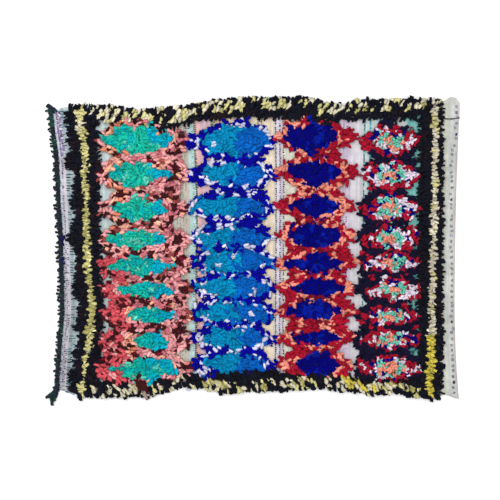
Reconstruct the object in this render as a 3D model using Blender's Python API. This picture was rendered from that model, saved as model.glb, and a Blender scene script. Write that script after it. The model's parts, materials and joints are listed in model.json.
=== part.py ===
"""Boucherouite rug: rag pile knotted into a flat weave, lying flat on the plane z = 0.

X runs along the rug, Y across it and Z up. The origin lies under the middle of the whole outline.
All sizes are in metres.
"""

import math
from typing import NamedTuple

import bmesh
import bpy
from mathutils import Matrix, Vector, noise

# Cloth outline: the two ends bow inwards, so each end has a waist and flares towards its corners.
LEFT_WAIST_X = -0.761
LEFT_WAIST_Y = 0.0
LEFT_FLARE_UPPER = 0.031
LEFT_FLARE_LOWER = 0.013
RIGHT_WAIST_X = 0.803
RIGHT_WAIST_Y = -0.21
RIGHT_FLARE_UPPER = 0.021
RIGHT_FLARE_LOWER = 0.016
UPPER_CORNER_Y = 0.58
LOWER_CORNER_Y = -0.58
CELL = 0.024

# Heights above the floor.
WOVEN_HEIGHT = 0.0045
HEM_HEIGHT = 0.0065
HEM_WIDTH = 0.030
RIM_HEIGHT = 0.012
BORDER_HEIGHT = 0.022
BARE_WEAVE_HEIGHT = 0.007
LOZENGE_HEIGHT = 0.022
LUMP_HEIGHT = 0.0045
LUMP_PITCH = 0.050

# Pile field between the two flat-woven end bands, and the lozenge field inside the borders.
PILE_LEFT = -0.732
PILE_RIGHT = 0.757
FIELD_LEFT = -0.600
FIELD_RIGHT = 0.660
FIELD_LOWER = -0.500
FIELD_UPPER = 0.505

# How many half-widths from a lozenge's middle its crown ends, and how many more its skirt takes to level out.
LOZENGE_CROWN = 0.4
LOZENGE_SKIRT = 1.3

# Rag locks, each a tapered stub that rests level on the floor; their lengths swing along the edge.
LOCK_TAPER = 0.5
LOCK_TIP_HEIGHT = 0.006
LOCK_SWING = 97.0

# A side face belongs to an edge when its normal leans at least this much towards that edge's way out.
LEAST_LEAN = 0.75

# Fringe strip along the left end.
FRINGE_GAP = 0.0003
FRINGE_WIDTH = 0.013
FRINGE_HEIGHT = 0.010
FRINGE_CELL = 0.009
FRINGE_UPPER_Y = 0.556
FRINGE_LOWER_Y = -0.548

UPWARD = Vector((0.0, 1.0, 0.0))
DOWNWARD = Vector((0.0, -1.0, 0.0))
LEFTWARD = Vector((-1.0, 0.0, 0.0))


class EdgePoint(NamedTuple):
    """A point of a long edge: its place along the rug and its distance from the middle line."""

    x: float
    y: float


class Row(NamedTuple):
    """A row of lozenges: the height of its middle line and half of its depth."""

    y: float
    half_depth: float


class Column(NamedTuple):
    """A column of lozenges: its middle line and half of its width."""

    x: float
    half_width: float


class LockSizes(NamedTuple):
    """A row of rag locks: its shortest and longest, and how far a tip sways sideways."""

    shortest: float
    longest: float
    sway: float


class TailStep(NamedTuple):
    """A stage of a corner tail: its middle, and its width and height there."""

    x: float
    y: float
    width: float
    height: float


UPPER_EDGE = (
    EdgePoint(-0.790, 0.556),
    EdgePoint(-0.736, 0.570),
    EdgePoint(-0.649, 0.570),
    EdgePoint(-0.557, 0.561),
    EdgePoint(-0.450, 0.549),
    EdgePoint(-0.350, 0.556),
    EdgePoint(-0.271, 0.567),
    EdgePoint(-0.151, 0.589),
    EdgePoint(0.016, 0.597),
    EdgePoint(0.175, 0.600),
    EdgePoint(0.314, 0.572),
    EdgePoint(0.454, 0.589),
    EdgePoint(0.756, 0.594),
    EdgePoint(0.785, 0.610),
    EdgePoint(0.806, 0.607),
    EdgePoint(0.824, 0.585),
)
LOWER_EDGE = (
    EdgePoint(-0.790, -0.556),
    EdgePoint(-0.712, -0.578),
    EdgePoint(-0.597, -0.573),
    EdgePoint(-0.422, -0.568),
    EdgePoint(-0.275, -0.530),
    EdgePoint(-0.111, -0.557),
    EdgePoint(0.024, -0.550),
    EdgePoint(0.255, -0.538),
    EdgePoint(0.386, -0.546),
    EdgePoint(0.466, -0.563),
    EdgePoint(0.529, -0.556),
    EdgePoint(0.669, -0.575),
    EdgePoint(0.728, -0.582),
    EdgePoint(0.768, -0.575),
    EdgePoint(0.820, -0.590),
)
ROWS = (
    Row(0.440, 0.060),
    Row(0.300, 0.055),
    Row(0.169, 0.051),
    Row(0.054, 0.044),
    Row(-0.054, 0.044),
    Row(-0.153, 0.038),
    Row(-0.253, 0.040),
    Row(-0.352, 0.038),
    Row(-0.460, 0.046),
)
COLUMNS = (
    Column(-0.438, 0.120),
    Column(-0.068, 0.135),
    Column(0.247, 0.105),
    Column(0.553, 0.118),
)
RIM_LOCKS = LockSizes(shortest=0.008, longest=0.020, sway=0.005)
FRINGE_LOCKS = LockSizes(shortest=0.008, longest=0.021, sway=0.003)
UPPER_SPIKE = (
    TailStep(-0.806, 0.566, 0.014, 0.008),
    TailStep(-0.825, 0.581, 0.004, 0.005),
)
LOWER_TAIL = (
    TailStep(-0.796, -0.569, 0.026, 0.010),
    TailStep(-0.805, -0.588, 0.022, 0.009),
    TailStep(-0.797, -0.619, 0.006, 0.006),
)


def clear_scene():
    """Remove every object that the scene starts with."""
    for obj in list(bpy.data.objects):
        bpy.data.objects.remove(obj, do_unlink=True)


def collection_named(name):
    """Make a collection in the scene and return it."""
    collection = bpy.data.collections.new(name)
    bpy.context.scene.collection.children.link(collection)
    return collection


def cloth_material(name, colour, roughness):
    """Make a plain cloth finish."""
    material = bpy.data.materials.new(name)
    material.use_nodes = True
    shader = material.node_tree.nodes["Principled BSDF"]
    shader.inputs["Base Color"].default_value = (*colour, 1.0)
    shader.inputs["Roughness"].default_value = roughness
    shader.inputs["Metallic"].default_value = 0.0
    return material


def eased(value):
    """Ease from 0 to 1 with level ends."""
    value = min(max(value, 0.0), 1.0)
    return value * value * (3.0 - 2.0 * value)


def edge_y(points, x):
    """Read a long edge at x, eased from each of its points to the next."""
    if x <= points[0].x:
        return points[0].y
    for start, end in zip(points, points[1:]):
        if x <= end.x:
            return start.y + (end.y - start.y) * eased((x - start.x) / (end.x - start.x))
    return points[-1].y


def flare(y, waist_y, upper, lower):
    """How far an end of the cloth stands out at y, past its waist."""
    if y > waist_y:
        return upper * ((y - waist_y) / (UPPER_CORNER_Y - waist_y)) ** 2
    return lower * ((y - waist_y) / (LOWER_CORNER_Y - waist_y)) ** 2


def left_x(y):
    """X of the cloth's left end at y."""
    return LEFT_WAIST_X - flare(y, LEFT_WAIST_Y, LEFT_FLARE_UPPER, LEFT_FLARE_LOWER)


def right_x(y):
    """X of the cloth's right end at y."""
    return RIGHT_WAIST_X + flare(y, RIGHT_WAIST_Y, RIGHT_FLARE_UPPER, RIGHT_FLARE_LOWER)


def outline_place(across, up):
    """Place of a cloth point from its shares, 0 to 1, of the rug's length and width."""
    level_x = UPPER_EDGE[0].x + across * (UPPER_EDGE[-1].x - UPPER_EDGE[0].x)
    lower = edge_y(LOWER_EDGE, level_x)
    upper = edge_y(UPPER_EDGE, level_x)
    y = lower + up * (upper - lower)
    x = left_x(y) + across * (right_x(y) - left_x(y))
    return Vector((x, y, 0.0))


def lump(x, y, seed):
    """Uneven swell of the rag pile, from about -1 to 1."""
    return noise.noise(Vector((x / LUMP_PITCH, y / LUMP_PITCH, seed)))


def lozenge_share(x, y):
    """How far a place lies inside the nearest lozenge: 1 at its middle, 0 well outside."""
    nearest = min(
        abs(x - column.x) / column.half_width + abs(y - row.y) / row.half_depth
        for column in COLUMNS
        for row in ROWS
    )
    return 1.0 - eased((nearest - LOZENGE_CROWN) / LOZENGE_SKIRT)


def field_share(x, y):
    """1 inside the lozenge field, falling to 0 over one cell into the borders."""
    inside = min(x - FIELD_LEFT, FIELD_RIGHT - x, y - FIELD_LOWER, FIELD_UPPER - y)
    return eased(inside / CELL)


def hem_share(x, y):
    """1 on the doubled hem at the right end, 0 on the single cloth."""
    return eased((x - right_x(y) + 2.0 * HEM_WIDTH) / HEM_WIDTH)


def cloth_height(x, y):
    """Height of the rug's upper face away from its rim."""
    if x < PILE_LEFT:
        return WOVEN_HEIGHT
    if x > PILE_RIGHT:
        return WOVEN_HEIGHT + (HEM_HEIGHT - WOVEN_HEIGHT) * hem_share(x, y)
    lozenges = BARE_WEAVE_HEIGHT + (LOZENGE_HEIGHT - BARE_WEAVE_HEIGHT) * lozenge_share(x, y)
    share = field_share(x, y)
    return BORDER_HEIGHT * (1.0 - share) + lozenges * share + LUMP_HEIGHT * lump(x, y, seed=1.0)


def slab_from_grid(columns, rows, place_of, height_of):
    """Make a closed slab with a flat underside; height_of takes a point and whether it is on the rim."""
    slab = bmesh.new()
    bmesh.ops.create_grid(slab, x_segments=columns, y_segments=rows, size=0.5)
    for vert in slab.verts:
        vert.co = place_of(vert.co.x + 0.5, vert.co.y + 0.5)
    underside = list(slab.faces)
    grown = bmesh.ops.extrude_face_region(slab, geom=underside)
    top = [item for item in grown["geom"] if isinstance(item, bmesh.types.BMVert)]
    top_faces = {item for item in grown["geom"] if isinstance(item, bmesh.types.BMFace)}
    for vert in top:
        on_rim = any(face not in top_faces for face in vert.link_faces)
        vert.co.z = height_of(vert.co.x, vert.co.y, on_rim)
    bmesh.ops.dissolve_faces(slab, faces=[face for face in slab.faces if flat_underneath(face)])
    bmesh.ops.recalc_face_normals(slab, faces=slab.faces)
    return slab


def flat_underneath(face):
    """Whether a face lies in the floor's plane."""
    return all(vert.co.z == 0.0 for vert in face.verts)


def side_faces(slab, facing):
    """Faces of the rim that look the way of facing, in order along the edge."""
    slab.normal_update()
    across = Vector((-facing.y, facing.x, 0.0))
    found = [face for face in slab.faces if face.normal.dot(facing) > LEAST_LEAN]
    return sorted(found, key=lambda face: face.calc_center_median().dot(across))


def halve_side(slab, facing):
    """Cut each face of one rim in two, for locks of half a cell."""
    level = {
        edge
        for face in side_faces(slab, facing)
        for edge in face.edges
        if (edge.verts[0].co.z == 0.0) == (edge.verts[1].co.z == 0.0)
    }
    bmesh.ops.subdivide_edges(slab, edges=list(level), cuts=1)


def grow(slab, face, tip, width_share, height):
    """Draw a side face out to tip, narrowed to a share of its width; its underside stays on the floor."""
    end = bmesh.ops.extrude_discrete_faces(slab, faces=[face])["faces"][0]
    root = end.calc_center_median()
    for vert in end.verts:
        on_floor = vert.co.z == 0.0
        offset = (vert.co - root) * width_share
        vert.co = Vector((tip.x + offset.x, tip.y + offset.y, 0.0 if on_floor else height))
    return end


def grow_locks(slab, facing, sizes, first, last, seed):
    """Grow a rag lock from every second side face that lies between first and last along the edge."""
    across = Vector((-facing.y, facing.x, 0.0))
    for face in side_faces(slab, facing)[::2]:
        root = face.calc_center_median()
        along = root.dot(across)
        if not first < along < last:
            continue
        swing = 0.5 + 0.5 * math.sin(LOCK_SWING * along + seed)
        length = sizes.shortest + (sizes.longest - sizes.shortest) * swing
        tip = root + face.normal * length + across * (sizes.sway * lump(root.x, root.y, seed))
        grow(slab, face, tip, LOCK_TAPER, LOCK_TIP_HEIGHT)


def body_height(x, y, on_rim):
    """Height of the rug's upper face, lower along its rim."""
    height = cloth_height(x, y)
    return min(height, RIM_HEIGHT) if on_rim else height


def rug_body():
    """The woven rug with its pile, end bands and the rag locks of its two long edges."""
    columns = round((UPPER_EDGE[-1].x - UPPER_EDGE[0].x) / CELL)
    rows = round((UPPER_CORNER_Y - LOWER_CORNER_Y) / CELL)
    slab = slab_from_grid(columns, rows, outline_place, body_height)
    for facing in (UPWARD, DOWNWARD):
        halve_side(slab, facing)
    grow_locks(slab, UPWARD, RIM_LOCKS, first=-PILE_RIGHT, last=-PILE_LEFT, seed=2.0)
    grow_locks(slab, DOWNWARD, RIM_LOCKS, first=PILE_LEFT, last=PILE_RIGHT, seed=3.0)
    return slab


def fringe_place(across, up):
    """Place of a fringe point from its shares, 0 to 1, of the strip's width and length."""
    y = FRINGE_LOWER_Y + up * (FRINGE_UPPER_Y - FRINGE_LOWER_Y)
    x = left_x(y) - FRINGE_GAP - FRINGE_WIDTH * (1.0 - across)
    return Vector((x, y, 0.0))


def fringe_height(x, y, _on_rim):
    """Height of the fringe strip, the same on its rim, because the strip is all rim."""
    return FRINGE_HEIGHT + LUMP_HEIGHT * lump(x, y, seed=4.0)


def grow_tail(slab, facing, steps):
    """Draw one end of the strip out through the stages of a corner tail."""
    end = side_faces(slab, facing)[0]
    for step in steps:
        width = max((a.co.xy - b.co.xy).length for a in end.verts for b in end.verts)
        end = grow(slab, end, Vector((step.x, step.y, 0.0)), step.width / width, step.height)


def left_end_fringe():
    """The strip of rag ends along the left end, with its upper spike and lower tail."""
    cells = round((FRINGE_UPPER_Y - FRINGE_LOWER_Y) / FRINGE_CELL)
    strip = slab_from_grid(1, cells, fringe_place, fringe_height)
    grow_tail(strip, UPWARD, UPPER_SPIKE)
    grow_tail(strip, DOWNWARD, LOWER_TAIL)
    grow_locks(strip, LEFTWARD, FRINGE_LOCKS, first=-FRINGE_UPPER_Y, last=-FRINGE_LOWER_Y, seed=5.0)
    return strip


def add_part(name, solid, material, collection):
    """Turn a finished solid into a named object of the collection."""
    bmesh.ops.recalc_face_normals(solid, faces=solid.faces)
    mesh = bpy.data.meshes.new(name)
    solid.to_mesh(mesh)
    solid.free()
    mesh.materials.append(material)
    part = bpy.data.objects.new(name, mesh)
    collection.objects.link(part)
    return part


def centre_outline(parts):
    """Move all parts together, so that the origin lies under the middle of their common outline."""
    corners = [vert.co for part in parts for vert in part.data.vertices]
    middle_x = (min(co.x for co in corners) + max(co.x for co in corners)) / 2.0
    middle_y = (min(co.y for co in corners) + max(co.y for co in corners)) / 2.0
    for part in parts:
        part.data.transform(Matrix.Translation((-middle_x, -middle_y, 0.0)))


def main():
    """Build the rug."""
    clear_scene()
    rug = collection_named("boucherouite_rug")
    pile = cloth_material("rag_pile", (0.16, 0.10, 0.22), 0.9)
    dark_rags = cloth_material("dark_green_rags", (0.01, 0.04, 0.04), 0.9)
    parts = (
        add_part("rug_body", rug_body(), pile, rug),
        add_part("left_end_fringe", left_end_fringe(), dark_rags, rug),
    )
    centre_outline(parts)


main()
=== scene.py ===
"""Boucherouite rug: cut rag ends knotted into a flat weave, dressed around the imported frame.

The rug lies flat on a pale floor. X runs along its length, Y across it and Z up. The warps run along X,
and the wefts, the rows of knots and the woven stripes run along Y. Sizes and places are millimetres until
they go into a mesh, and the middle of the rug's outline is the origin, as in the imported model.
"""

import json
import logging
import math
from dataclasses import dataclass, replace
from enum import Enum
from typing import NamedTuple

import bpy
import numpy as np
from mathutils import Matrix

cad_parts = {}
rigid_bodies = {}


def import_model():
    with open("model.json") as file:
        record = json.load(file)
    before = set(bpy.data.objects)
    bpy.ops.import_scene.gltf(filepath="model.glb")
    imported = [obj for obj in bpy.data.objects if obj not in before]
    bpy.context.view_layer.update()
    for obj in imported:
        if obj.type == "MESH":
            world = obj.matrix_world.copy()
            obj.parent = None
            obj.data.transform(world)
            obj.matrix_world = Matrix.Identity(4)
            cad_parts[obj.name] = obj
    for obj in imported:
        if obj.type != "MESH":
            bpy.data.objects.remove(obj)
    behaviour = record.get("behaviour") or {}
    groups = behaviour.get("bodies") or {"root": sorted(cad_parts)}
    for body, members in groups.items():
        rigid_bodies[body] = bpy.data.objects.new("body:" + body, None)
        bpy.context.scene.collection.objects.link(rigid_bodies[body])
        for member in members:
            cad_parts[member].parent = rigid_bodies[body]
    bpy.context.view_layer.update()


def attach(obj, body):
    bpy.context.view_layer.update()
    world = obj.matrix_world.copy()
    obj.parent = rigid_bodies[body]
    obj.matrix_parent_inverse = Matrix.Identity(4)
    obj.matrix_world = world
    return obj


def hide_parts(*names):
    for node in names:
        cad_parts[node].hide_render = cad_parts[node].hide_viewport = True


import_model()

MM = 0.001
BODY = "root"
BAKE_MAP = "OFBake"
LOG = logging.getLogger("rug")

Colour = tuple[int, int, int]

# The points that a line goes through: pairs of a place and the value there, with rising places.
Line = tuple[tuple[float, float], ...]


class Rag(Enum):
    """The cloths that the rags were cut from, as display colours from 0 to 255."""

    SOOT = (18, 19, 30)
    BROWN_SOOT = (30, 20, 26)
    LEMON = (196, 190, 130)
    OLIVE = (164, 158, 98)
    CREAM = (204, 197, 170)
    MUSTARD = (196, 180, 72)
    TURQUOISE = (22, 176, 152)
    SEA = (6, 164, 164)
    MINT = (84, 190, 170)
    CYAN = (0, 164, 192)
    SALMON = (220, 149, 150)
    ROSE = (194, 108, 118)
    PEACH = (234, 168, 142)
    ORANGE = (204, 118, 92)
    STRAWBERRY = (200, 78, 88)
    UMBER = (62, 20, 24)
    # BRICK is partly a real darker cloth and partly painted shade for the shaded sides of salmon rag ends.
    BRICK = (142, 66, 62)
    BONE = (192, 184, 165)
    NAVY = (24, 24, 74)
    PETROL = (0, 132, 182)
    AZURE = (2, 92, 182)
    COBALT = (3, 2, 142)
    LAVENDER = (198, 198, 222)
    ULTRAMARINE = (0, 0, 112)
    ROYAL = (0, 24, 146)
    CRIMSON = (158, 16, 42)
    WINE = (116, 14, 38)
    INK = (20, 17, 44)
    AQUA = (98, 190, 170)
    BLUSH = (214, 200, 216)
    APRICOT = (226, 138, 118)
    BOTTLE = (10, 32, 36)
    FOREST = (14, 56, 50)
    MIDNIGHT = (12, 16, 42)
    TEAL_YARN = (58, 112, 112)
    SLATE_YARN = (136, 139, 152)
    PLUM_YARN = (74, 54, 96)
    VIOLET_YARN = (136, 122, 168)
    GREEN_YARN = (44, 84, 70)
    TAUPE_YARN = (150, 132, 130)


class Zone(Enum):
    """What a place on the rug is."""

    BARE = 0
    SIDE_DARK = 1
    SIDE_PALE = 2
    LONG_DARK = 3
    LONG_PALE = 4
    CORE = 5
    RING = 6
    MOSAIC = 7


class Lay(Enum):
    """How rag ends lie, seen from above."""

    SIDEWAYS = "along the warps, to either side"
    SLANTING = "across the rug, leaning to either side"
    OUTWARD = "away from the middle of their lozenge"
    AROUND = "along the edge of their lozenge"
    TANGLED = "any way"


class Lozenge(NamedTuple):
    """A lozenge: its middle, half of its width and depth, and where its ring's tips end on either side."""

    x: float
    y: float
    half_width: float
    half_depth: float
    tip_left: float
    tip_right: float


class WeftBand(NamedTuple):
    """A woven stripe: where it starts along the rug at mid width, and its colour."""

    start: float
    colour: Colour


class Share(NamedTuple):
    """A cloth and its share among the rags of a place."""

    rag: Rag
    part: float


class Strand(NamedTuple):
    """A single rag end or yarn: where it is tied, its length and width, its heading, and its cloth."""

    x: float
    y: float
    length: float
    width: float
    heading: float
    rag: Rag


class Knotting(NamedTuple):
    """How a zone is knotted: its rag ends' sizes, slope and lay, how close the knots are and how uneven."""

    length: float
    width: float
    lift: float
    slope: float
    lay: Lay
    stray: float
    tone: float
    row_pitch: float
    knot_pitch: float
    uneven: float = 1.0


Mix = tuple[Share, ...]
Mixes = list[tuple[np.ndarray, Mix]]


KNOTTING = {
    Zone.SIDE_DARK: Knotting(22, 9, 5, 0.15, Lay.SIDEWAYS, 0.50, 0.20, 7.5, 6.4),
    Zone.SIDE_PALE: Knotting(23, 13, 5, 0.13, Lay.SIDEWAYS, 0.34, 0.06, 7.6, 6.8),
    Zone.LONG_DARK: Knotting(24, 11, 6, 0.18, Lay.SLANTING, 0.35, 0.20, 7.8, 7.4),
    Zone.LONG_PALE: Knotting(24, 15, 5, 0.14, Lay.SLANTING, 0.25, 0.06, 8.0, 7.6),
    Zone.CORE: Knotting(26, 14, 2.2, 0.07, Lay.OUTWARD, 0.30, 0.05, 6.6, 6.2, 0.25),
    Zone.RING: Knotting(27, 13, 5.0, 0.15, Lay.AROUND, 0.50, 0.10, 7.9, 7.7, 0.8),
    Zone.MOSAIC: Knotting(20, 10, 5, 0.16, Lay.TANGLED, 0.0, 0.08, 7.2, 7.0),
}


def linear(colour: Colour) -> tuple[float, float, float]:
    """Turn a display colour into linear light.

    Args:
        colour: red, green and blue from 0 to 255.

    Returns:
        Red, green and blue from 0 to 1.
    """
    shares = (channel / 255 for channel in colour)
    return tuple(share / 12.92 if share <= 0.04 else ((share + 0.055) / 1.055) ** 2.4 for share in shares)


def mix(**parts: float) -> Mix:
    """Mix cloths, each given by its name among the Rags and its part."""
    return tuple(Share(Rag[name], part) for name, part in parts.items())


def eased(value: np.ndarray) -> np.ndarray:
    """Ease from 0 to 1 with level ends.

    Args:
        value: any numbers.

    Returns:
        The eased numbers, from 0 to 1.
    """
    value = np.clip(value, 0.0, 1.0)
    return value * value * (3.0 - 2.0 * value)


def read_line(points: Line, at: np.ndarray) -> np.ndarray:
    """Read a line of points, eased from each to the next.

    Args:
        points: the line.
        at: the places to read.

    Returns:
        The value at each place.
    """
    places = np.array([point[0] for point in points], float)
    values = np.array([point[1] for point in points], float)
    step = np.clip(np.searchsorted(places, at) - 1, 0, len(places) - 2)
    share = eased((at - places[step]) / (places[step + 1] - places[step]))
    return values[step] + (values[step + 1] - values[step]) * share


def pick(shares: Mix, draw: np.ndarray) -> np.ndarray:
    """Choose a cloth for each rag end.

    Args:
        shares: the cloths and their parts, which need not add up to one.
        draw: a number from 0 to 1 for each rag end.

    Returns:
        The linear colour of each.
    """
    parts = np.cumsum([share.part for share in shares])
    chosen = np.searchsorted(parts / parts[-1], draw, side="right")
    palette = np.array([linear(share.rag.value) for share in shares])
    return palette[np.clip(chosen, 0, len(shares) - 1)]


def opaque(colours: np.ndarray) -> np.ndarray:
    """Give rows of linear colours a full alpha."""
    return np.concatenate([colours, np.ones((len(colours), 1))], 1)


def triangle_count(mesh: bpy.types.Mesh) -> int:
    """How many triangles a mesh draws."""
    sides = np.empty(len(mesh.polygons), np.int32)
    mesh.polygons.foreach_get("loop_total", sides)
    return int((sides - 2).sum())


def put_attribute(mesh: bpy.types.Mesh, name: str, kind: str, values: np.ndarray) -> None:
    """Give a mesh's vertices an attribute.

    Args:
        mesh: the mesh.
        name: the attribute's name.
        kind: its data type.
        values: one row for each vertex.
    """
    keys = {"FLOAT": "value", "INT": "value", "FLOAT_VECTOR": "vector", "FLOAT_COLOR": "color"}
    number = np.int32 if kind == "INT" else np.float32
    data = mesh.attributes.new(name, kind, "POINT").data
    data.foreach_set(keys[kind], np.ascontiguousarray(values, number).ravel())


def placed(name: str, data: bpy.types.ID) -> bpy.types.Object:
    """Make an object of this data in the scene."""
    made = bpy.data.objects.new(name, data)
    bpy.context.scene.collection.objects.link(made)
    return made


@dataclass(frozen=True)
class Drift:
    """Smooth unevenness over the rug, the same on each run."""

    seed: int
    pitch: float
    cells: int = 96

    def at(self, x: np.ndarray, y: np.ndarray) -> np.ndarray:
        """Read the drift.

        Args:
            x: places along the rug.
            y: places across it.

        Returns:
            A number from -1 to 1 for each place.
        """
        table = np.random.default_rng(self.seed).uniform(-1.0, 1.0, (self.cells, self.cells))
        column, row = np.floor(x / self.pitch).astype(int), np.floor(y / self.pitch).astype(int)
        across, up = eased(x / self.pitch - column), eased(y / self.pitch - row)
        corner = [
            table[(column + right) % self.cells, (row + above) % self.cells]
            for right in (0, 1)
            for above in (0, 1)
        ]
        low = corner[0] * (1 - up) + corner[1] * up
        high = corner[2] * (1 - up) + corner[3] * up
        return low * (1 - across) + high * across


@dataclass(frozen=True)
class RagRuns:
    """Which rag each knot is tied from: one strip of rag gives a few neighbouring knots."""

    seed: int
    rows: float = 16.0
    run: float = 17.0
    cells: int = 211

    def draw(self, x: np.ndarray, y: np.ndarray) -> np.ndarray:
        """Draw a rag for each knot.

        Args:
            x: places of the knots along the rug.
            y: their places across it.

        Returns:
            A number from 0 to 1 for each, the same for knots of one rag.
        """
        random = np.random.default_rng(self.seed)
        table = random.random((self.cells, self.cells))
        shift = random.random(self.cells) * self.run
        bow = Drift(self.seed + 1, 22.0).at(x, y) * 5.0
        row = np.floor((x + bow) / self.rows).astype(int) % self.cells
        strip = np.floor((y + shift[row] + bow) / self.run).astype(int) % self.cells
        return table[row, strip]


@dataclass(frozen=True)
class ClothOutline:
    """The outline of the woven cloth; its two ends bow inwards to a waist."""

    left_waist: float = -759.6
    right_waist: float = 804.4
    right_waist_y: float = -209.4
    corner_y: float = 580.5
    left_flare: tuple[float, float] = (31.0, 13.0)
    right_flare: tuple[float, float] = (21.0, 16.0)
    left_sway: Line = (
        (-560, 1), (-479, 1), (-368, 5), (-256, 12), (-145, 9), (-9, 5), (82, 3), (194, -2), (361, 0),
        (508, -7), (560, -8),
    )
    sway_end: float = -690.0
    upper: Line = (
        (-789, 557), (-735, 571), (-648, 571), (-556, 562), (-449, 550), (-349, 557), (-270, 568),
        (-150, 590), (17, 598), (176, 601), (315, 573), (455, 590), (757, 595), (786, 611), (807, 608),
        (825, 586),
    )
    lower: Line = (
        (-789, -555), (-711, -577), (-596, -572), (-421, -567), (-274, -529), (-110, -556), (25, -549),
        (256, -537), (387, -545), (467, -562), (530, -555), (670, -574), (729, -581), (769, -574),
        (821, -589),
    )

    def flare(self, y: np.ndarray, waist: float, sizes: tuple[float, float]) -> np.ndarray:
        """How far an end stands out past its waist.

        Args:
            y: places across the rug.
            waist: where the end is narrowest.
            sizes: how far its upper and its lower corner stand out.

        Returns:
            The distance past the waist at each place.
        """
        upward = sizes[0] * ((y - waist) / (self.corner_y - waist)) ** 2
        downward = sizes[1] * ((y - waist) / (-self.corner_y - waist)) ** 2
        return np.where(y > waist, upward, downward)

    def left(self, y: np.ndarray) -> np.ndarray:
        """Place of the left end at y."""
        return self.left_waist - self.flare(y, 0.0, self.left_flare) + read_line(self.left_sway, y)

    def right(self, y: np.ndarray) -> np.ndarray:
        """Place of the right end at y."""
        return self.right_waist + self.flare(y, self.right_waist_y, self.right_flare)

    def top(self, x: np.ndarray) -> np.ndarray:
        """Place of the upper edge at x."""
        return read_line(self.upper, x)

    def bottom(self, x: np.ndarray) -> np.ndarray:
        """Place of the lower edge at x."""
        return read_line(self.lower, x)

    def lay(self, along: np.ndarray, y: np.ndarray) -> np.ndarray:
        """Find where a place of the weave lies.

        Args:
            along: places along the rug as they are at mid width.
            y: places across it.

        Returns:
            Their places along the rug at y, bowed with its two ends.
        """
        across = (along - self.left_waist) / (self.right(np.zeros(1)) - self.left_waist)
        sway = read_line(self.left_sway, y)
        even = self.left(y) - sway
        return even + across * (self.right(y) - even) + sway * eased((self.sway_end - along) / 30)

    def place(self, along: np.ndarray, up: np.ndarray) -> tuple[np.ndarray, np.ndarray]:
        """Lay the weave into the outline.

        Args:
            along: places along the rug as they are at mid width.
            up: shares of the width, from 0 at the lower edge to 1 at the upper.

        Returns:
            The x and the y of each point as it lies.
        """
        across = (along - self.left_waist) / (self.right(np.zeros(1)) - self.left_waist)
        level = self.upper[0][0] + across * (self.upper[-1][0] - self.upper[0][0])
        low, high = self.bottom(level), self.top(level)
        y = low + up * (high - low)
        return self.lay(along, y), y


CLOTH = ClothOutline()


@dataclass
class Knots:
    """Rag ends before they are made: where each is tied and how it lies, in millimetres and radians."""

    x: np.ndarray
    y: np.ndarray
    z: np.ndarray
    heading: np.ndarray
    slope: np.ndarray
    length: np.ndarray
    width: np.ndarray
    lift: np.ndarray
    colour: np.ndarray

    @classmethod
    def joined(cls, groups: list["Knots"]) -> "Knots":
        """All knots of several groups, in order."""
        names = vars(groups[0])
        return cls(**{name: np.concatenate([getattr(group, name) for group in groups]) for name in names})

    @classmethod
    def laid(cls, strands: tuple[Strand, ...], height: float, slope: float = 0.0) -> "Knots":
        """Lay single strands.

        Args:
            strands: the strands.
            height: the height of their roots.
            slope: how they rise from there, in radians.

        Returns:
            Their knots.
        """
        sizes = np.array([strand[:5] for strand in strands], float)
        level = np.ones(len(strands))
        return cls(
            x=sizes[:, 0], y=sizes[:, 1], z=height + np.arange(len(strands)) % 3 * 0.8,
            heading=sizes[:, 4], slope=level * slope, length=sizes[:, 2], width=sizes[:, 3],
            lift=level * 3.0, colour=np.array([linear(strand.rag.value) for strand in strands]),
        )

    def toned(self, spread: float, seed: int) -> "Knots":
        """Give each rag end its own lightness, with soft patches over the rug that are partly random tone
        and partly painted shade.

        Args:
            spread: how much the lightness varies.
            seed: the seed of its draw.

        Returns:
            The same knots with varied colours.
        """
        draw = np.random.default_rng(seed).normal(0.0, spread, len(self.x))
        # Soft lighter and darker patches over the rug: partly random tone, partly painted shade that stands
        # in for the soft shading across the pile.
        uneven_tone = Drift(seed + 5, 36.0).at(self.x, self.y) * 0.20
        return replace(self, colour=np.clip(self.colour * np.exp(draw + uneven_tone)[:, None], 0.0, 0.95))


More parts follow.
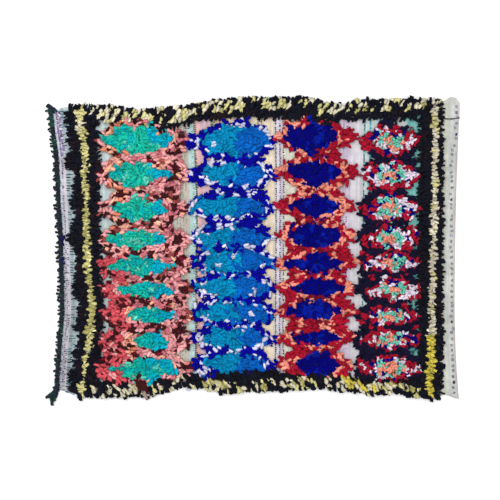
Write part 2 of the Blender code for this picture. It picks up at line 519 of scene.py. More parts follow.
@dataclass(frozen=True)
class LozengeColumn:
    """A column of lozenges, each in a ring of mixed rags that reaches out to a tip on either side."""

    name: str
    lozenges: tuple[Lozenge, ...]
    right: Line
    waist_left: Line
    waist_right: Line
    fullness: float = 1.42
    end_gap: float = 68.0
    inset: float = 11.0
    tip_inset: float = 6.0
    taper: float = 1.2
    blunt: tuple[float, float] = (1.35, 1.35)
    core: Zone = Zone.CORE

    def frame_of(self, x: np.ndarray, y: np.ndarray) -> tuple[np.ndarray, ...]:
        """Measure places from their nearest lozenge.

        Args:
            x: places along the rug.
            y: places across it.

        Returns:
            The distance along the rug from its middle, that distance in half widths, the lozenge distance,
            which is 1 on its edge, and the share of the way to the next lozenge.
        """
        table = np.array(self.lozenges, float)
        gaps = -np.diff(table[:, 1]) / 2
        above = np.append(self.end_gap, gaps)
        below = np.append(gaps, self.end_gap)
        nearest = np.abs(y[:, None] - table[None, :, 1]).argmin(1)
        middle_x, middle_y, half_width, half_depth = table[nearest, :4].T
        out, up = x - middle_x, y - middle_y
        way = np.clip(np.abs(up) / np.where(up > 0, above[nearest], below[nearest]), 0.0, 1.0)
        rise = np.abs(up / half_depth)
        steps = Drift(44, 14.0).at(x, middle_y + 40.0 * np.sign(up)) * 0.28 * np.clip(rise * 1.4, 0.0, 1.0)
        teeth = steps + Drift(41, 13.0).at(x, y) * 0.13 + Drift(43, 36.0).at(x, y) * 0.13
        power = self.fullness
        distance = (np.abs(out / half_width) ** power + rise ** power) ** (1 / power) + teeth
        return out, out / half_width, distance, way

    def zone(self, x: np.ndarray, y: np.ndarray) -> np.ndarray:
        """Tell the zone of each place: CORE, RING or BARE."""
        _, _, distance, way = self.frame_of(x, y)
        way = np.minimum(way * self.taper, 1.0)
        ragged = Drift(47, 26.0).at(x, y) * 7.0
        table = np.array(self.lozenges)
        tip_left, tip_right = table[np.abs(y[:, None] - table[None, :, 1]).argmin(1), 4:].T
        inset = self.inset + self.tip_inset * (1.0 - way)
        reach_left = tip_left + (read_line(self.waist_left, y) - tip_left) * way ** self.blunt[0] + inset
        reach_right = tip_right + (read_line(self.waist_right, y) - tip_right) * way ** self.blunt[1] - inset
        ring = (x > reach_left + ragged) & (x < reach_right + ragged)
        return np.where(distance < 1.0, self.core.value, np.where(ring, Zone.RING.value, Zone.BARE.value))

    def colours(self, x: np.ndarray, y: np.ndarray, draw: np.ndarray) -> np.ndarray:
        """Dye each place of the column.

        Args:
            x: places along the rug.
            y: places across it.
            draw: a number from 0 to 1 for each, which picks its rag.

        Returns:
            Their linear colours.
        """
        colours = np.zeros((len(x), 3))
        for where, shares in self.mixes(x, y):
            if not where.any():
                continue
            colours[where] = pick(shares, draw[where])
        return colours

    def mixes(self, x: np.ndarray, y: np.ndarray) -> Mixes:
        """List the column's mixes of rags with the places of each; a later one lies over an earlier one."""
        raise NotImplementedError


class TurquoiseColumn(LozengeColumn):
    """Turquoise lozenges in salmon, peach and umber."""

    def mixes(self, x: np.ndarray, y: np.ndarray) -> Mixes:
        """List the column's mixes of rags with the places of each; a later one lies over an earlier one."""
        out, side, distance, way = self.frame_of(x, y)
        wander = Drift(51, 60.0).at(x, y)
        single = RagRuns(52, 10.0, 11.0).draw(x, y)
        near, lower, fray = distance < 1.0, y + wander * 30 < 0, Drift(57, 13.0).at(x, y) * 0.15
        # The umber flecks and the BRICK rags are partly real dark rags and partly painted shadow and shade
        # between and on the salmon rag ends.
        fleck = (single < 0.19 + 0.12 * (way > 0.6) + 0.04 * lower) & (distance > 1.05)
        return [
            (distance > -9, mix(SALMON=0.60, ROSE=0.22, BRICK=0.11, PEACH=0.07)),
            (out + wander * 30 < -45, mix(PEACH=0.36, ORANGE=0.30, SALMON=0.24, BRICK=0.10)),
            (lower & (x + wander * 20 < -500), mix(STRAWBERRY=0.80, SALMON=0.20)),
            (lower & (way > 0.55) & (np.abs(out) < 70), mix(ROSE=0.45, PEACH=0.20, SALMON=0.20, UMBER=0.15)),
            (fleck, mix(UMBER=0.92, WINE=0.08)),
            ((side > 1.12) & (side < 1.42) & (way < 0.34), mix(UMBER=0.62, ROSE=0.38)),
            ((side < -1.02) & (way < 0.50) & ~lower, mix(UMBER=0.36, BRICK=0.24, SALMON=0.40)),
            (near, mix(TURQUOISE=0.74, SEA=0.10, MINT=0.16)),
            (near & (side + wander * 0.3 < -0.35), mix(SEA=0.45, TURQUOISE=0.45, MINT=0.10)),
            (near & lower, mix(SEA=0.60, TURQUOISE=0.32, MINT=0.08)),
            (near & (side + wander * 0.25 + fray > 0.44 - 0.22 * lower), mix(CYAN=0.80, SEA=0.20)),
        ]


class AzureColumn(LozengeColumn):
    """Petrol and azure lozenges in cobalt, with lavender flecks."""

    def mixes(self, x: np.ndarray, y: np.ndarray) -> Mixes:
        """List the column's mixes of rags with the places of each; a later one lies over an earlier one."""
        _, side, distance, way = self.frame_of(x, y)
        wander = Drift(53, 50.0).at(x, y)
        single = RagRuns(54, 10.0, 11.0).draw(x, y)
        near, fray = distance < 1.0, Drift(58, 14.0).at(x, y) * 24
        return [
            (distance > -9, mix(COBALT=0.84, LAVENDER=0.08, AZURE=0.08)),
            ((distance < 1.25) & (single < 0.29), mix(LAVENDER=1.0)),
            ((distance < 1.40) & (side < -0.4) & (single < 0.20), mix(LAVENDER=0.8, BLUSH=0.2)),
            ((side + wander * 0.1 < -0.80) & (way < 0.5), mix(LAVENDER=0.52, COBALT=0.48)),
            (side + wander * 0.08 < -1.16, mix(COBALT=0.94, LAVENDER=0.06)),
            (near, mix(PETROL=0.98, LAVENDER=0.02)),
            (near & (x + wander * 26 + fray > -66), mix(AZURE=0.99, LAVENDER=0.01)),
        ]


class UltramarineColumn(LozengeColumn):
    """Ultramarine lozenges edged with apricot, in a crimson lattice."""

    def mixes(self, x: np.ndarray, y: np.ndarray) -> Mixes:
        """List the column's mixes of rags with the places of each; a later one lies over an earlier one."""
        out, side, distance, way = self.frame_of(x, y)
        wander = Drift(55, 45.0).at(x, y)
        near = distance < 1.0
        edge = (distance < 1.34 + wander * 0.1) | ((way < 0.24) & (np.abs(side) < 1.5))
        between = (way > 0.74) & (np.abs(out) < 62)
        return [
            (distance > -9, mix(CRIMSON=0.90, APRICOT=0.10)),
            (edge, mix(APRICOT=0.53, CRIMSON=0.47)),
            (between, mix(WINE=0.30, CRIMSON=0.40, APRICOT=0.22, ULTRAMARINE=0.08)),
            (near, mix(ULTRAMARINE=1.0)),
            (near & (wander > 0.25) & (np.abs(side) < 0.7), mix(ROYAL=0.7, ULTRAMARINE=0.3)),
        ]


class MosaicColumn(LozengeColumn):
    """Lozenges of many small rags ringed with crimson, on ink; the last one has a wider apricot middle."""

    last_row: float = -412.0

    def mixes(self, x: np.ndarray, y: np.ndarray) -> Mixes:
        """List the column's mixes of rags with the places of each; a later one lies over an earlier one."""
        _, side, distance, _ = self.frame_of(x, y)
        inner = (distance < 0.62) & (np.abs(side) < 0.50)
        heart = (distance < 0.28 + 0.24 * (y < self.last_row)) & (np.abs(side) < 0.44)
        return [
            (distance > -9, mix(INK=0.90, CRIMSON=0.10)),
            (side > 0.66, mix(INK=0.84, TEAL_YARN=0.08, CRIMSON=0.08)),
            (distance < 1.08, mix(CRIMSON=0.86, BLUSH=0.10, ULTRAMARINE=0.04)),
            (distance < 0.84, mix(BLUSH=0.42, CRIMSON=0.18, ULTRAMARINE=0.20, AQUA=0.20)),
            (inner, mix(AQUA=0.54, APRICOT=0.20, ULTRAMARINE=0.20, BLUSH=0.06)),
            ((distance < 0.90) & (np.abs(side) > 0.46), mix(BLUSH=0.54, CRIMSON=0.24, ULTRAMARINE=0.22)),
            (heart, mix(APRICOT=0.70, AQUA=0.20, ULTRAMARINE=0.10)),
        ]


COLUMNS = (
    TurquoiseColumn(
        "turquoise_column",
        (
            Lozenge(-452, 440, 135, 64, -640, -262), Lozenge(-460, 301, 115, 52, -640, -252),
            Lozenge(-454, 166, 111, 50, -640, -253), Lozenge(-452, 46, 119, 44, -640, -246),
            Lozenge(-448, -61, 123, 42, -640, -242), Lozenge(-420, -157, 115, 34, -640, -233),
            Lozenge(-409, -256, 100, 36, -640, -229), Lozenge(-401, -358, 84, 38, -640, -240),
            Lozenge(-420, -467, 127, 52, -640, -236),
        ),
        right=((-560, -238), (-60, -242), (46, -250), (440, -262)),
        waist_left=(
            (-499, -570), (-415, -584), (-308, -561), (-216, -545), (-105, -561), (7, -575), (102, -540),
            (229, -542), (373, -562), (484, -536),
        ),
        waist_right=(
            (-499, -262), (-415, -289), (-308, -277), (-216, -273), (-105, -281), (7, -277), (102, -329),
            (229, -301), (373, -289), (484, -289),
        ),
    ),
    AzureColumn(
        "azure_column",
        (
            Lozenge(-64, 436, 139, 60, -268, 84), Lozenge(-62, 303, 119, 50, -254, 104),
            Lozenge(-90, 174, 151, 44, -263, 94), Lozenge(-78, 52, 139, 40, -257, 91),
            Lozenge(-70, -41, 131, 49, -256, 94), Lozenge(-70, -145, 135, 44, -245, 112),
            Lozenge(-70, -244, 131, 46, -246, 106), Lozenge(-70, -348, 127, 46, -251, 94),
            Lozenge(-70, -451, 119, 44, -244, 94),
        ),
        right=((-560, 95), (600, 91)), fullness=1.6, blunt=(2.1, 1.2),
        waist_left=(
            (-499, -190), (-415, -158), (-308, -194), (-216, -186), (-105, -166), (7, -190), (102, -180),
            (229, -150), (373, -136), (484, -84), (520, -60),
        ),
        waist_right=((-499, 41), (400, 41), (484, -6), (520, -20)),
    ),
    UltramarineColumn(
        "ultramarine_column",
        (
            Lozenge(232, 452, 100, 68, 82, 419), Lozenge(244, 315, 107, 56, 76, 425),
            Lozenge(252, 178, 100, 50, 83, 406), Lozenge(240, 62, 111, 52, 88, 411),
            Lozenge(248, -49, 115, 40, 86, 414), Lozenge(260, -145, 107, 37, 94, 408),
            Lozenge(244, -236, 107, 44, 90, 406), Lozenge(252, -348, 100, 32, 87, 406),
            Lozenge(256, -447, 96, 48, 83, 398),
        ),
        right=((-560, 400), (-60, 409), (300, 419)), blunt=(1.1, 1.35),
        waist_left=(
            (-499, 150), (-308, 149), (-216, 137), (-105, 151), (7, 151), (102, 169), (484, 172),
        ),
        waist_right=(
            (-499, 363), (-415, 340), (-308, 369), (-216, 375), (-105, 363), (7, 368), (102, 340),
            (229, 342), (373, 336), (484, 312),
        ),
    ),
    MosaicColumn(
        "mosaic_column",
        (
            Lozenge(551, 436, 115, 56, 418, 680), Lozenge(551, 301, 115, 56, 422, 680),
            Lozenge(543, 166, 111, 56, 406, 680), Lozenge(547, 50, 115, 48, 410, 680),
            Lozenge(555, -49, 119, 40, 408, 680), Lozenge(559, -159, 115, 48, 402, 680),
            Lozenge(551, -260, 115, 40, 401, 680), Lozenge(547, -356, 115, 40, 398, 680),
            Lozenge(551, -467, 127, 52, 398, 680),
        ),
        right=((-560, 690), (560, 690)), fullness=1.3, taper=1.0, core=Zone.MOSAIC,
        waist_left=(
            (-499, 446), (-415, 418), (-308, 429), (-216, 448), (-105, 443), (7, 430), (102, 443),
            (229, 470), (373, 481), (484, 507),
        ),
        waist_right=(
            (-499, 652), (-308, 652), (-216, 612), (-105, 652), (7, 646), (102, 606), (229, 602),
            (373, 614), (484, 563),
        ),
    ),
)


@dataclass(frozen=True)
class BorderPlan:
    """Where the pile ends and how the pale stripes run in its dark borders.

    Lines of the side borders are read by y, and those of the long borders by x.
    """

    pile_left: Line = (
        (-563, -727), (-535, -731), (-483, -727), (-459, -711), (-427, -707), (-404, -719), (-376, -693),
        (-336, -691), (-300, -715), (-276, -691), (-244, -699), (-196, -691), (-165, -715), (-137, -707),
        (-29, -697), (3, -707), (42, -743), (90, -724), (122, -706), (154, -707), (177, -723),
        (201, -727), (221, -711), (261, -711), (317, -711), (341, -741), (373, -739), (400, -719),
        (416, -727), (440, -739), (468, -731), (500, -739), (540, -744), (584, -747),
    )
    pile_right: float = 742.0
    edge_inset: float = 13.0
    field_left: Line = (
        (-479, -619), (-435, -615), (-356, -603), (-236, -600), (-117, -607), (3, -611), (202, -615),
        (528, -619),
    )
    field_right: float = 667.0
    field_top: Line = (
        (-623, 522), (-470, 520), (-345, 488), (-240, 514), (-210, 530), (9, 536), (188, 530),
        (300, 512), (420, 528), (666, 534),
    )
    field_bottom: Line = (
        (-623, -525), (-408, -532), (-330, -516), (-249, -503), (-110, -497), (37, -485), (188, -495),
        (308, -502), (427, -510), (567, -520), (658, -508),
    )
    left_stripe: Line = (
        (-539, -682), (-495, -666), (-439, -665), (-387, -653), (-296, -641), (-196, -641), (-97, -651),
        (3, -655), (142, -660), (249, -663), (361, -663), (440, -671), (480, -683), (572, -687),
    )
    left_stripe_half: Line = (
        (-539, 11), (-495, 8), (-439, 10), (-387, 13), (-296, 15), (-196, 14), (-97, 13), (38, 12),
        (154, 11), (249, 13), (300, 11), (416, 12), (480, 17), (572, 17),
    )
    right_stripe: Line = (
        (-579, 702), (-435, 706), (-336, 710), (3, 716), (250, 722), (600, 724),
    )
    right_stripe_half: Line = (
        (-579, 15), (-330, 15), (-250, 11), (600, 11),
    )
    top_stripe_depth: Line = (
        (-740, 18), (-560, 19), (-440, 24), (-390, 34), (-290, 33), (-230, 20), (280, 19), (340, 24),
        (440, 20), (738, 22),
    )
    bottom_stripe_depth: float = 18.0
    long_stripe_half: float = 17.0
    rim: float = 2.0
    long_span: tuple[float, float] = (-640.0, 684.0)
    mustard_below: float = -336.0
    mustard_along: tuple[float, float] = (345.0, 490.0)
    dull_middle: float = -40.0
    dull_half: float = 290.0
    corner_y: float = 440.0
    overlap: float = 9.0

    def left_edge(self, x: np.ndarray, y: np.ndarray) -> np.ndarray:
        """Place where the pile starts at the left, ragged."""
        return read_line(self.pile_left, y) + self.edge_inset + Drift(61, 14.0).at(x * 0, y) * 4.0

    def in_field(self, x: np.ndarray, y: np.ndarray) -> np.ndarray:
        """Whether each place is inside the borders, whose inner edge is ragged."""
        ragged = Drift(63, 30.0).at(x, y) * 6.0
        inside = (x > read_line(self.field_left, y) + ragged) & (x < self.field_right + ragged)
        inside &= y < read_line(self.field_top, x) + ragged
        return inside & (y > read_line(self.field_bottom, x) + ragged)

    def in_side_stripe(self, x: np.ndarray, y: np.ndarray) -> np.ndarray:
        """Whether each place is on a pale stripe that runs across the rug."""
        uneven = np.where(x < 0, 0.26, 0.12)
        lumps = 1.0 + uneven * Drift(65, 26.0).at(x * 0, y) + 0.12 * Drift(66, 12.0).at(x, y)
        left = np.abs(x - read_line(self.left_stripe, y)) < read_line(self.left_stripe_half, y) * lumps
        right = np.abs(x - read_line(self.right_stripe, y)) < read_line(self.right_stripe_half, y) * lumps
        return left | right

    def in_long_stripe(self, x: np.ndarray, y: np.ndarray) -> np.ndarray:
        """Whether each place is on a pale stripe that runs along the rug."""
        lumps = 1.0 + 0.22 * Drift(67, 30.0).at(x, y * 0)
        top = np.abs(CLOTH.top(x) - y - read_line(self.top_stripe_depth, x)) < self.long_stripe_half * lumps
        bottom = np.abs(y - CLOTH.bottom(x) - self.bottom_stripe_depth) < self.long_stripe_half * lumps
        return top | bottom

    def colours(self, x: np.ndarray, y: np.ndarray, draw: np.ndarray) -> np.ndarray:
        """Dye each place of the borders.

        Args:
            x: places along the rug.
            y: places across it.
            draw: a number from 0 to 1 for each, which picks its rag.

        Returns:
            Their linear colours.
        """
        long_way = self.long_way(x, y)
        side, along = self.in_side_stripe(x, y) & ~long_way, self.in_long_stripe(x, y) & long_way
        mustard = (along & (y < 0) & (x > self.mustard_along[0]) & (x < self.mustard_along[1])) | (
            side & (x > 0) & (y < self.mustard_below)
        )
        rim = (y > CLOTH.top(x) - self.rim) | (y < CLOTH.bottom(x) + self.rim)
        colours = pick(mix(SOOT=0.86, BROWN_SOOT=0.14), draw)
        for where, shares in (
            (along & (y > 0), mix(LEMON=0.30, CREAM=0.28, SOOT=0.35, OLIVE=0.07)),
            (along & (y < 0), mix(LEMON=0.20, CREAM=0.27, SOOT=0.46, OLIVE=0.07)),
            (side & (x < 0), mix(LEMON=0.74, OLIVE=0.16, CREAM=0.10)),
            (side & (x < 0) & (np.abs(y - self.dull_middle) < self.dull_half), mix(OLIVE=0.56, LEMON=0.44)),
            (side & (x > 0), mix(BONE=0.42, CREAM=0.40, LEMON=0.18)),
            (mustard & side, mix(MUSTARD=0.96, LEMON=0.04)),
            (mustard & along, mix(MUSTARD=0.64, CREAM=0.16, SOOT=0.14, LEMON=0.06)),
            (rim, mix(SOOT=0.74, CREAM=0.14, LEMON=0.09, LAVENDER=0.02, AQUA=0.01)),
        ):
            colours[where] = pick(shares, draw[where])
        return colours

    def long_way(self, x: np.ndarray, y: np.ndarray) -> np.ndarray:
        """Whether each border place belongs to a long border and not to a side one."""
        outside = y > read_line(self.field_top, x) - self.overlap
        outside |= y < read_line(self.field_bottom, x) + self.overlap
        return (np.abs(y) > self.corner_y) & (x > self.long_span[0]) & (x < self.long_span[1]) & outside


@dataclass(frozen=True)
class RugDesign:
    """The whole pattern: the zone of each place, and its colour."""

    borders: BorderPlan = BorderPlan()
    columns: tuple[LozengeColumn, ...] = COLUMNS
    cloth_rim: float = 5.0

    def in_column(self, x: np.ndarray, y: np.ndarray) -> np.ndarray:
        """Number of the column that each place belongs to."""
        return sum((x >= read_line(column.right, y)).astype(int) for column in self.columns[:-1])

    def zones(self, x: np.ndarray, y: np.ndarray) -> np.ndarray:
        """Tell the zone of each place.

        Args:
            x: places along the rug.
            y: places across it.

        Returns:
            The value of its Zone for each.
        """
        borders = self.borders
        long_way = borders.long_way(x, y)
        pale = np.where(long_way, borders.in_long_stripe(x, y), borders.in_side_stripe(x, y))
        dark = np.where(long_way, Zone.LONG_DARK.value, Zone.SIDE_DARK.value)
        light = np.where(long_way, Zone.LONG_PALE.value, Zone.SIDE_PALE.value)
        zones = np.where(pale, light, dark)
        inside, number = borders.in_field(x, y), self.in_column(x, y)
        for index, column in enumerate(self.columns):
            here = inside & (number == index)
            zones[here] = column.zone(x[here], y[here])
        off = (x < borders.left_edge(x, y)) | (x > borders.pile_right)
        off |= (y > CLOTH.top(x) - self.cloth_rim) | (y < CLOTH.bottom(x) + self.cloth_rim)
        zones[off] = Zone.BARE.value
        return zones

    def colours(self, x: np.ndarray, y: np.ndarray, seed: int = 71) -> np.ndarray:
        """Dye each place as if pile lay there.

        Args:
            x: places along the rug.
            y: places across it.
            seed: the seed of the rags' draw.

        Returns:
            Their linear colours.
        """
        draw = RagRuns(seed).draw(x, y)
        colours = self.borders.colours(x, y, RagRuns(seed + 1, 13.0, 40.0).draw(x - np.abs(y) * 0.6, y))
        inside, number = self.borders.in_field(x, y), self.in_column(x, y)
        for index, column in enumerate(self.columns):
            here = inside & (number == index)
            colours[here] = column.colours(x[here], y[here], draw[here])
        return colours

    def distance(self, x: np.ndarray, y: np.ndarray) -> np.ndarray:
        """Lozenge distance of each place in its own column, which is 1 on a lozenge's edge."""
        found, number = np.full(len(x), 9.0), self.in_column(x, y)
        for index, column in enumerate(self.columns):
            here = number == index
            if here.any():
                found[here] = column.frame_of(x[here], y[here])[2]
        return found

    def nearest(self, x: np.ndarray, y: np.ndarray) -> np.ndarray:
        """The nearest lozenge of each place's own column, as rows of x, y, half width and half depth."""
        own = np.array([column.lozenges for column in self.columns], float)[self.in_column(x, y)]
        row = np.abs(own[:, :, 1] - y[:, None]).argmin(1)
        return own[np.arange(len(x)), row, :4]


DESIGN = RugDesign()


class Wiring:
    """Short ways to add and join the nodes of one tree."""

    def __init__(self, tree: bpy.types.NodeTree) -> None:
        """Keep the tree that is wired."""
        self.tree = tree

    def add(self, kind: str, inputs: dict | None = None, **settings: object) -> bpy.types.Node:
        """Add a node.

        Args:
            kind: its type.
            inputs: values or output sockets for its inputs, by name or number.
            settings: its own properties.

        Returns:
            The node.
        """
        node = self.tree.nodes.new(kind)
        for name, value in settings.items():
            setattr(node, name, value)
        for name, value in (inputs or {}).items():
            if isinstance(name, int):
                entry = node.inputs[name]
            else:
                entry = next(known for known in node.inputs if known.name == name and known.enabled)
            if isinstance(value, bpy.types.NodeSocket):
                self.tree.links.new(value, entry)
            else:
                entry.default_value = value
        return node

    def out(self, kind: str, inputs: dict | None = None, **settings: object) -> bpy.types.NodeSocket:
        """Add a node and give its first enabled output; the arguments are those of add."""
        node = self.add(kind, inputs, **settings)
        return next(entry for entry in node.outputs if entry.enabled)

    def math(self, operation: str, *values: object) -> bpy.types.NodeSocket:
        """Add a Math node with these inputs and give its output."""
        return self.out("ShaderNodeMath", dict(enumerate(values)), operation=operation)

    def remap(
        self, value: bpy.types.NodeSocket, start: float, end: float, low: float, high: float,
    ) -> bpy.types.NodeSocket:
        """Map a range of one value to another range, and give the output."""
        return self.out("ShaderNodeMapRange", {
            "Value": value, "From Min": start, "From Max": end, "To Min": low, "To Max": high,
        })

    def scaled(self, colour: bpy.types.NodeSocket, factor: bpy.types.NodeSocket) -> bpy.types.NodeSocket:
        """Multiply a colour by a number, and give the output."""
        inputs = {"Vector": colour, "Scale": factor}
        return self.add("ShaderNodeVectorMath", inputs, operation="SCALE").outputs["Vector"]

    def noise(self, vector: bpy.types.NodeSocket, scale: float, detail: float) -> bpy.types.NodeSocket:
        """Add a noise texture and give its output."""
        return self.out("ShaderNodeTexNoise", {"Vector": vector, "Scale": scale, "Detail": detail})

    def mark(self, name: str, output: str = "Fac") -> bpy.types.NodeSocket:
        """Read a mesh attribute in a material."""
        return self.add("ShaderNodeAttribute", attribute_name=name).outputs[output]


def start_finish(name: str, sockets: dict[str, float]) -> tuple[bpy.types.Material, Wiring, bpy.types.Node]:
    """Start a node material.

    Args:
        name: its name.
        sockets: constant values for inputs of its shader.

    Returns:
        The material, the wiring of its nodes, and its shader.
    """
    material = bpy.data.materials.new(name)
    material.use_nodes = True
    shader = material.node_tree.nodes["Principled BSDF"]
    for socket, value in sockets.items():
        shader.inputs[socket].default_value = value
    return material, Wiring(material.node_tree), shader


@dataclass(frozen=True)
class RagFinish:
    """Worn cut cloth: its own dye, fibre streaks along the strip, and painted shade that darkens it towards
    its root.
    """

    name: str
    roughness: float = 0.95
    sheen: float = 0.015
    painted_root_shade: float = 0.95
    streak: float = 0.09
    bump: float = 0.35

    def material(self) -> bpy.types.Material:
        """Build the node material."""
        material, wire, shader = start_finish(self.name, {
            "Roughness": self.roughness, "Sheen Weight": self.sheen, "Sheen Roughness": 0.6,
            "Specular IOR Level": 0.03,
        })
        along, across = wire.mark("along"), wire.mark("across")
        strip = wire.out("ShaderNodeCombineXYZ", {
            "X": wire.math("MULTIPLY", across, 3.0),
            "Y": wire.math("MULTIPLY", along, 1.5),
            "Z": wire.math("MULTIPLY", wire.mark("rag_tone"), 60.0),
        })
        fibres = wire.noise(strip, 1.6, 3.0)
        # Painted shade: the colour darkens towards the root, where neighbouring rag ends shade it.
        rooted = wire.remap(along, 0.0, 0.5, self.painted_root_shade, 1.0)
        uneven_tone = wire.remap(fibres, 0.3, 0.7, 1.0 - self.streak, 1.0 + self.streak)
        dyed = wire.scaled(wire.mark("rag_colour", "Color"), wire.math("MULTIPLY", rooted, uneven_tone))
        wire.tree.links.new(dyed, shader.inputs["Base Color"])
        place = wire.add("ShaderNodeTexCoord").outputs["Object"]
        fine = wire.noise(place, 900.0, 2.0)
        relief = wire.math("MULTIPLY_ADD", fibres, 0.8, fine)
        bump = wire.out("ShaderNodeBump", {"Strength": self.bump, "Distance": 0.0008, "Height": relief})
        wire.tree.links.new(bump, shader.inputs["Normal"])
        return material


@dataclass(frozen=True)
class WeaveFinish:
    """Weft-faced plain weave: coloured wefts that pass over and under hidden warps, with painted shade in
    the dips between the yarns' crowns.
    """

    name: str = "flat weave"
    roughness: float = 0.95
    sheen: float = 0.15
    pick_mm: float = 3.2
    warp_mm: float = 4.6
    bump: float = 0.8

    def material(self) -> bpy.types.Material:
        """Build the node material."""
        material, wire, shader = start_finish(self.name, {
            "Roughness": self.roughness, "Sheen Weight": self.sheen, "Specular IOR Level": 0.2,
        })
        picks = wire.math("DIVIDE", wire.mark("weft_place"), self.pick_mm)
        warps = wire.math("DIVIDE", wire.mark("warp_place"), self.warp_mm)
        parity = wire.math("MULTIPLY", wire.math("FLOOR", warps), 0.5)
        shifted = wire.math("ADD", picks, parity)
        over = wire.math("ABSOLUTE", wire.math("SINE", wire.math("MULTIPLY", shifted, math.pi)))
        beside = wire.math("ABSOLUTE", wire.math("SINE", wire.math("MULTIPLY", warps, math.pi)))
        bead = wire.math("MULTIPLY", over, beside)
        place = wire.add("ShaderNodeTexCoord").outputs["Object"]
        yarn = wire.noise(place, 260.0, 3.0)
        slub = wire.noise(place, 38.0, 3.0)
        # Painted shade: the colour darkens in the dips between the yarns' crowns; slub and yarn noise then
        # vary the tone.
        bead_painted_shade = wire.remap(bead, 0.0, 0.8, 0.70, 1.04)
        shade = wire.math("MULTIPLY", bead_painted_shade, wire.remap(slub, 0.3, 0.7, 0.92, 1.08))
        shade = wire.math("MULTIPLY", shade, wire.remap(yarn, 0.3, 0.7, 0.93, 1.07))
        dyed = wire.scaled(wire.mark("weft_colour", "Color"), shade)
        wire.tree.links.new(dyed, shader.inputs["Base Color"])
        relief = wire.math("MULTIPLY_ADD", yarn, 0.4, bead)
        bump = wire.out("ShaderNodeBump", {"Strength": self.bump, "Distance": 0.0012, "Height": relief})
        wire.tree.links.new(bump, shader.inputs["Normal"])
        return material


@dataclass(frozen=True)
class FloorFinish:
    """A matte pale floor with a faint mottle."""

    name: str = "pale floor"
    shade: float = 0.93

    def material(self) -> bpy.types.Material:
        """Build the node material."""
        material, wire, shader = start_finish(self.name, {"Roughness": 0.85, "Specular IOR Level": 0.1})
        place = wire.add("ShaderNodeTexCoord").outputs["Object"]
        mottle = wire.noise(place, 3.0, 4.0)
        tone = wire.remap(mottle, 0.3, 0.7, self.shade - 0.01, self.shade + 0.01)
        pale = wire.out("ShaderNodeCombineColor", {0: tone, 1: tone, 2: tone})
        wire.tree.links.new(pale, shader.inputs["Base Color"])
        return material


@dataclass(frozen=True)
class RagEnds:
    """The cut rag ends that every knot picks from: strips that bend, twist and narrow at both ends.

    Each is a closed strip of one unit's length and width, with its root at the origin.
    """

    kinds: int = 10
    stations: tuple[float, ...] = (0.0, 0.22, 0.48, 0.76, 1.0)
    widths: tuple[float, ...] = (0.62, 0.95, 1.0, 1.0, 0.80)
    rise: tuple[float, ...] = (0.0, 0.60, 0.84, 0.72, 0.36)
    thickness: float = 0.24
    most_bend: float = 0.34
    most_twist: float = 0.6
    seed: int = 11

    def corners(self) -> int:
        """How many face corners one rag end has."""
        return (len(self.stations) - 1) * 3 * 4 + 6

    def mesh(self, kind: int) -> bpy.types.Mesh:
        """Make one kind of rag end.

        Args:
            kind: which one.

        Returns:
            Its mesh, with its bake map and its along and across attributes.
        """
        draw = np.random.default_rng(self.seed + kind)
        bend = draw.uniform(-self.most_bend, self.most_bend)
        twist = draw.uniform(-self.most_twist, self.most_twist)
        points, along, across, faces, places = [], [], [], [], []
        for station, width, rise in zip(self.stations, self.widths, self.rise):
            half = 0.5 * width * draw.uniform(0.86, 1.14)
            slew = draw.uniform(-0.11, 0.11) if station == 1.0 else 0.0
            angle = twist * (station - 0.4)
            for side, out in enumerate((-half, 0.0, half)):
                up = self.thickness * (0.6 + 0.4 * width) if side == 1 else 0.0
                points.append((
                    station + slew * (side - 1),
                    bend * station * station + out * math.cos(angle) - up * math.sin(angle),
                    rise + up * math.cos(angle) + out * math.sin(angle),
                ))
                along.append(station)
                across.append(side - 1.0)
        for ring in range(len(self.stations) - 1):
            start, end = self.stations[ring], self.stations[ring + 1]
            for side in range(3):
                after, low, high = (side + 1) % 3, ring * 3, ring * 3 + 3
                faces.append((low + side, low + after, high + after, high + side)[::-1])
                left, right = side / 3, (side + 1) / 3
                places += [(left, end), (right, end), (right, start), (left, start)]
        last = len(points) - 1
        faces += [(0, 1, 2)[::-1], (last, last - 1, last - 2)[::-1]]
        places += [(0.6, 0.0), (0.3, 0.0), (0.0, 0.0), (0.0, 1.0), (0.3, 1.0), (0.6, 1.0)]
        mesh = bpy.data.meshes.new(f"rag_end_{kind:02d}")
        mesh.from_pydata(points, [], faces)
        mesh.polygons.foreach_set("use_smooth", np.ones(len(faces), bool))
        mesh.uv_layers.new(name=BAKE_MAP).uv.foreach_set("vector", np.array(places, np.float32).ravel())
        put_attribute(mesh, "along", "FLOAT", np.array(along))
        put_attribute(mesh, "across", "FLOAT", np.array(across))
        return mesh

    def collection(self) -> bpy.types.Collection:
        """Make all kinds as the objects of one hidden collection."""
        kinds = bpy.data.collections.new("rag_ends")
        bpy.context.scene.collection.children.link(kinds)
        for kind in range(self.kinds):
            kinds.objects.link(bpy.data.objects.new(f"rag_end_{kind:02d}", self.mesh(kind)))
        return kinds


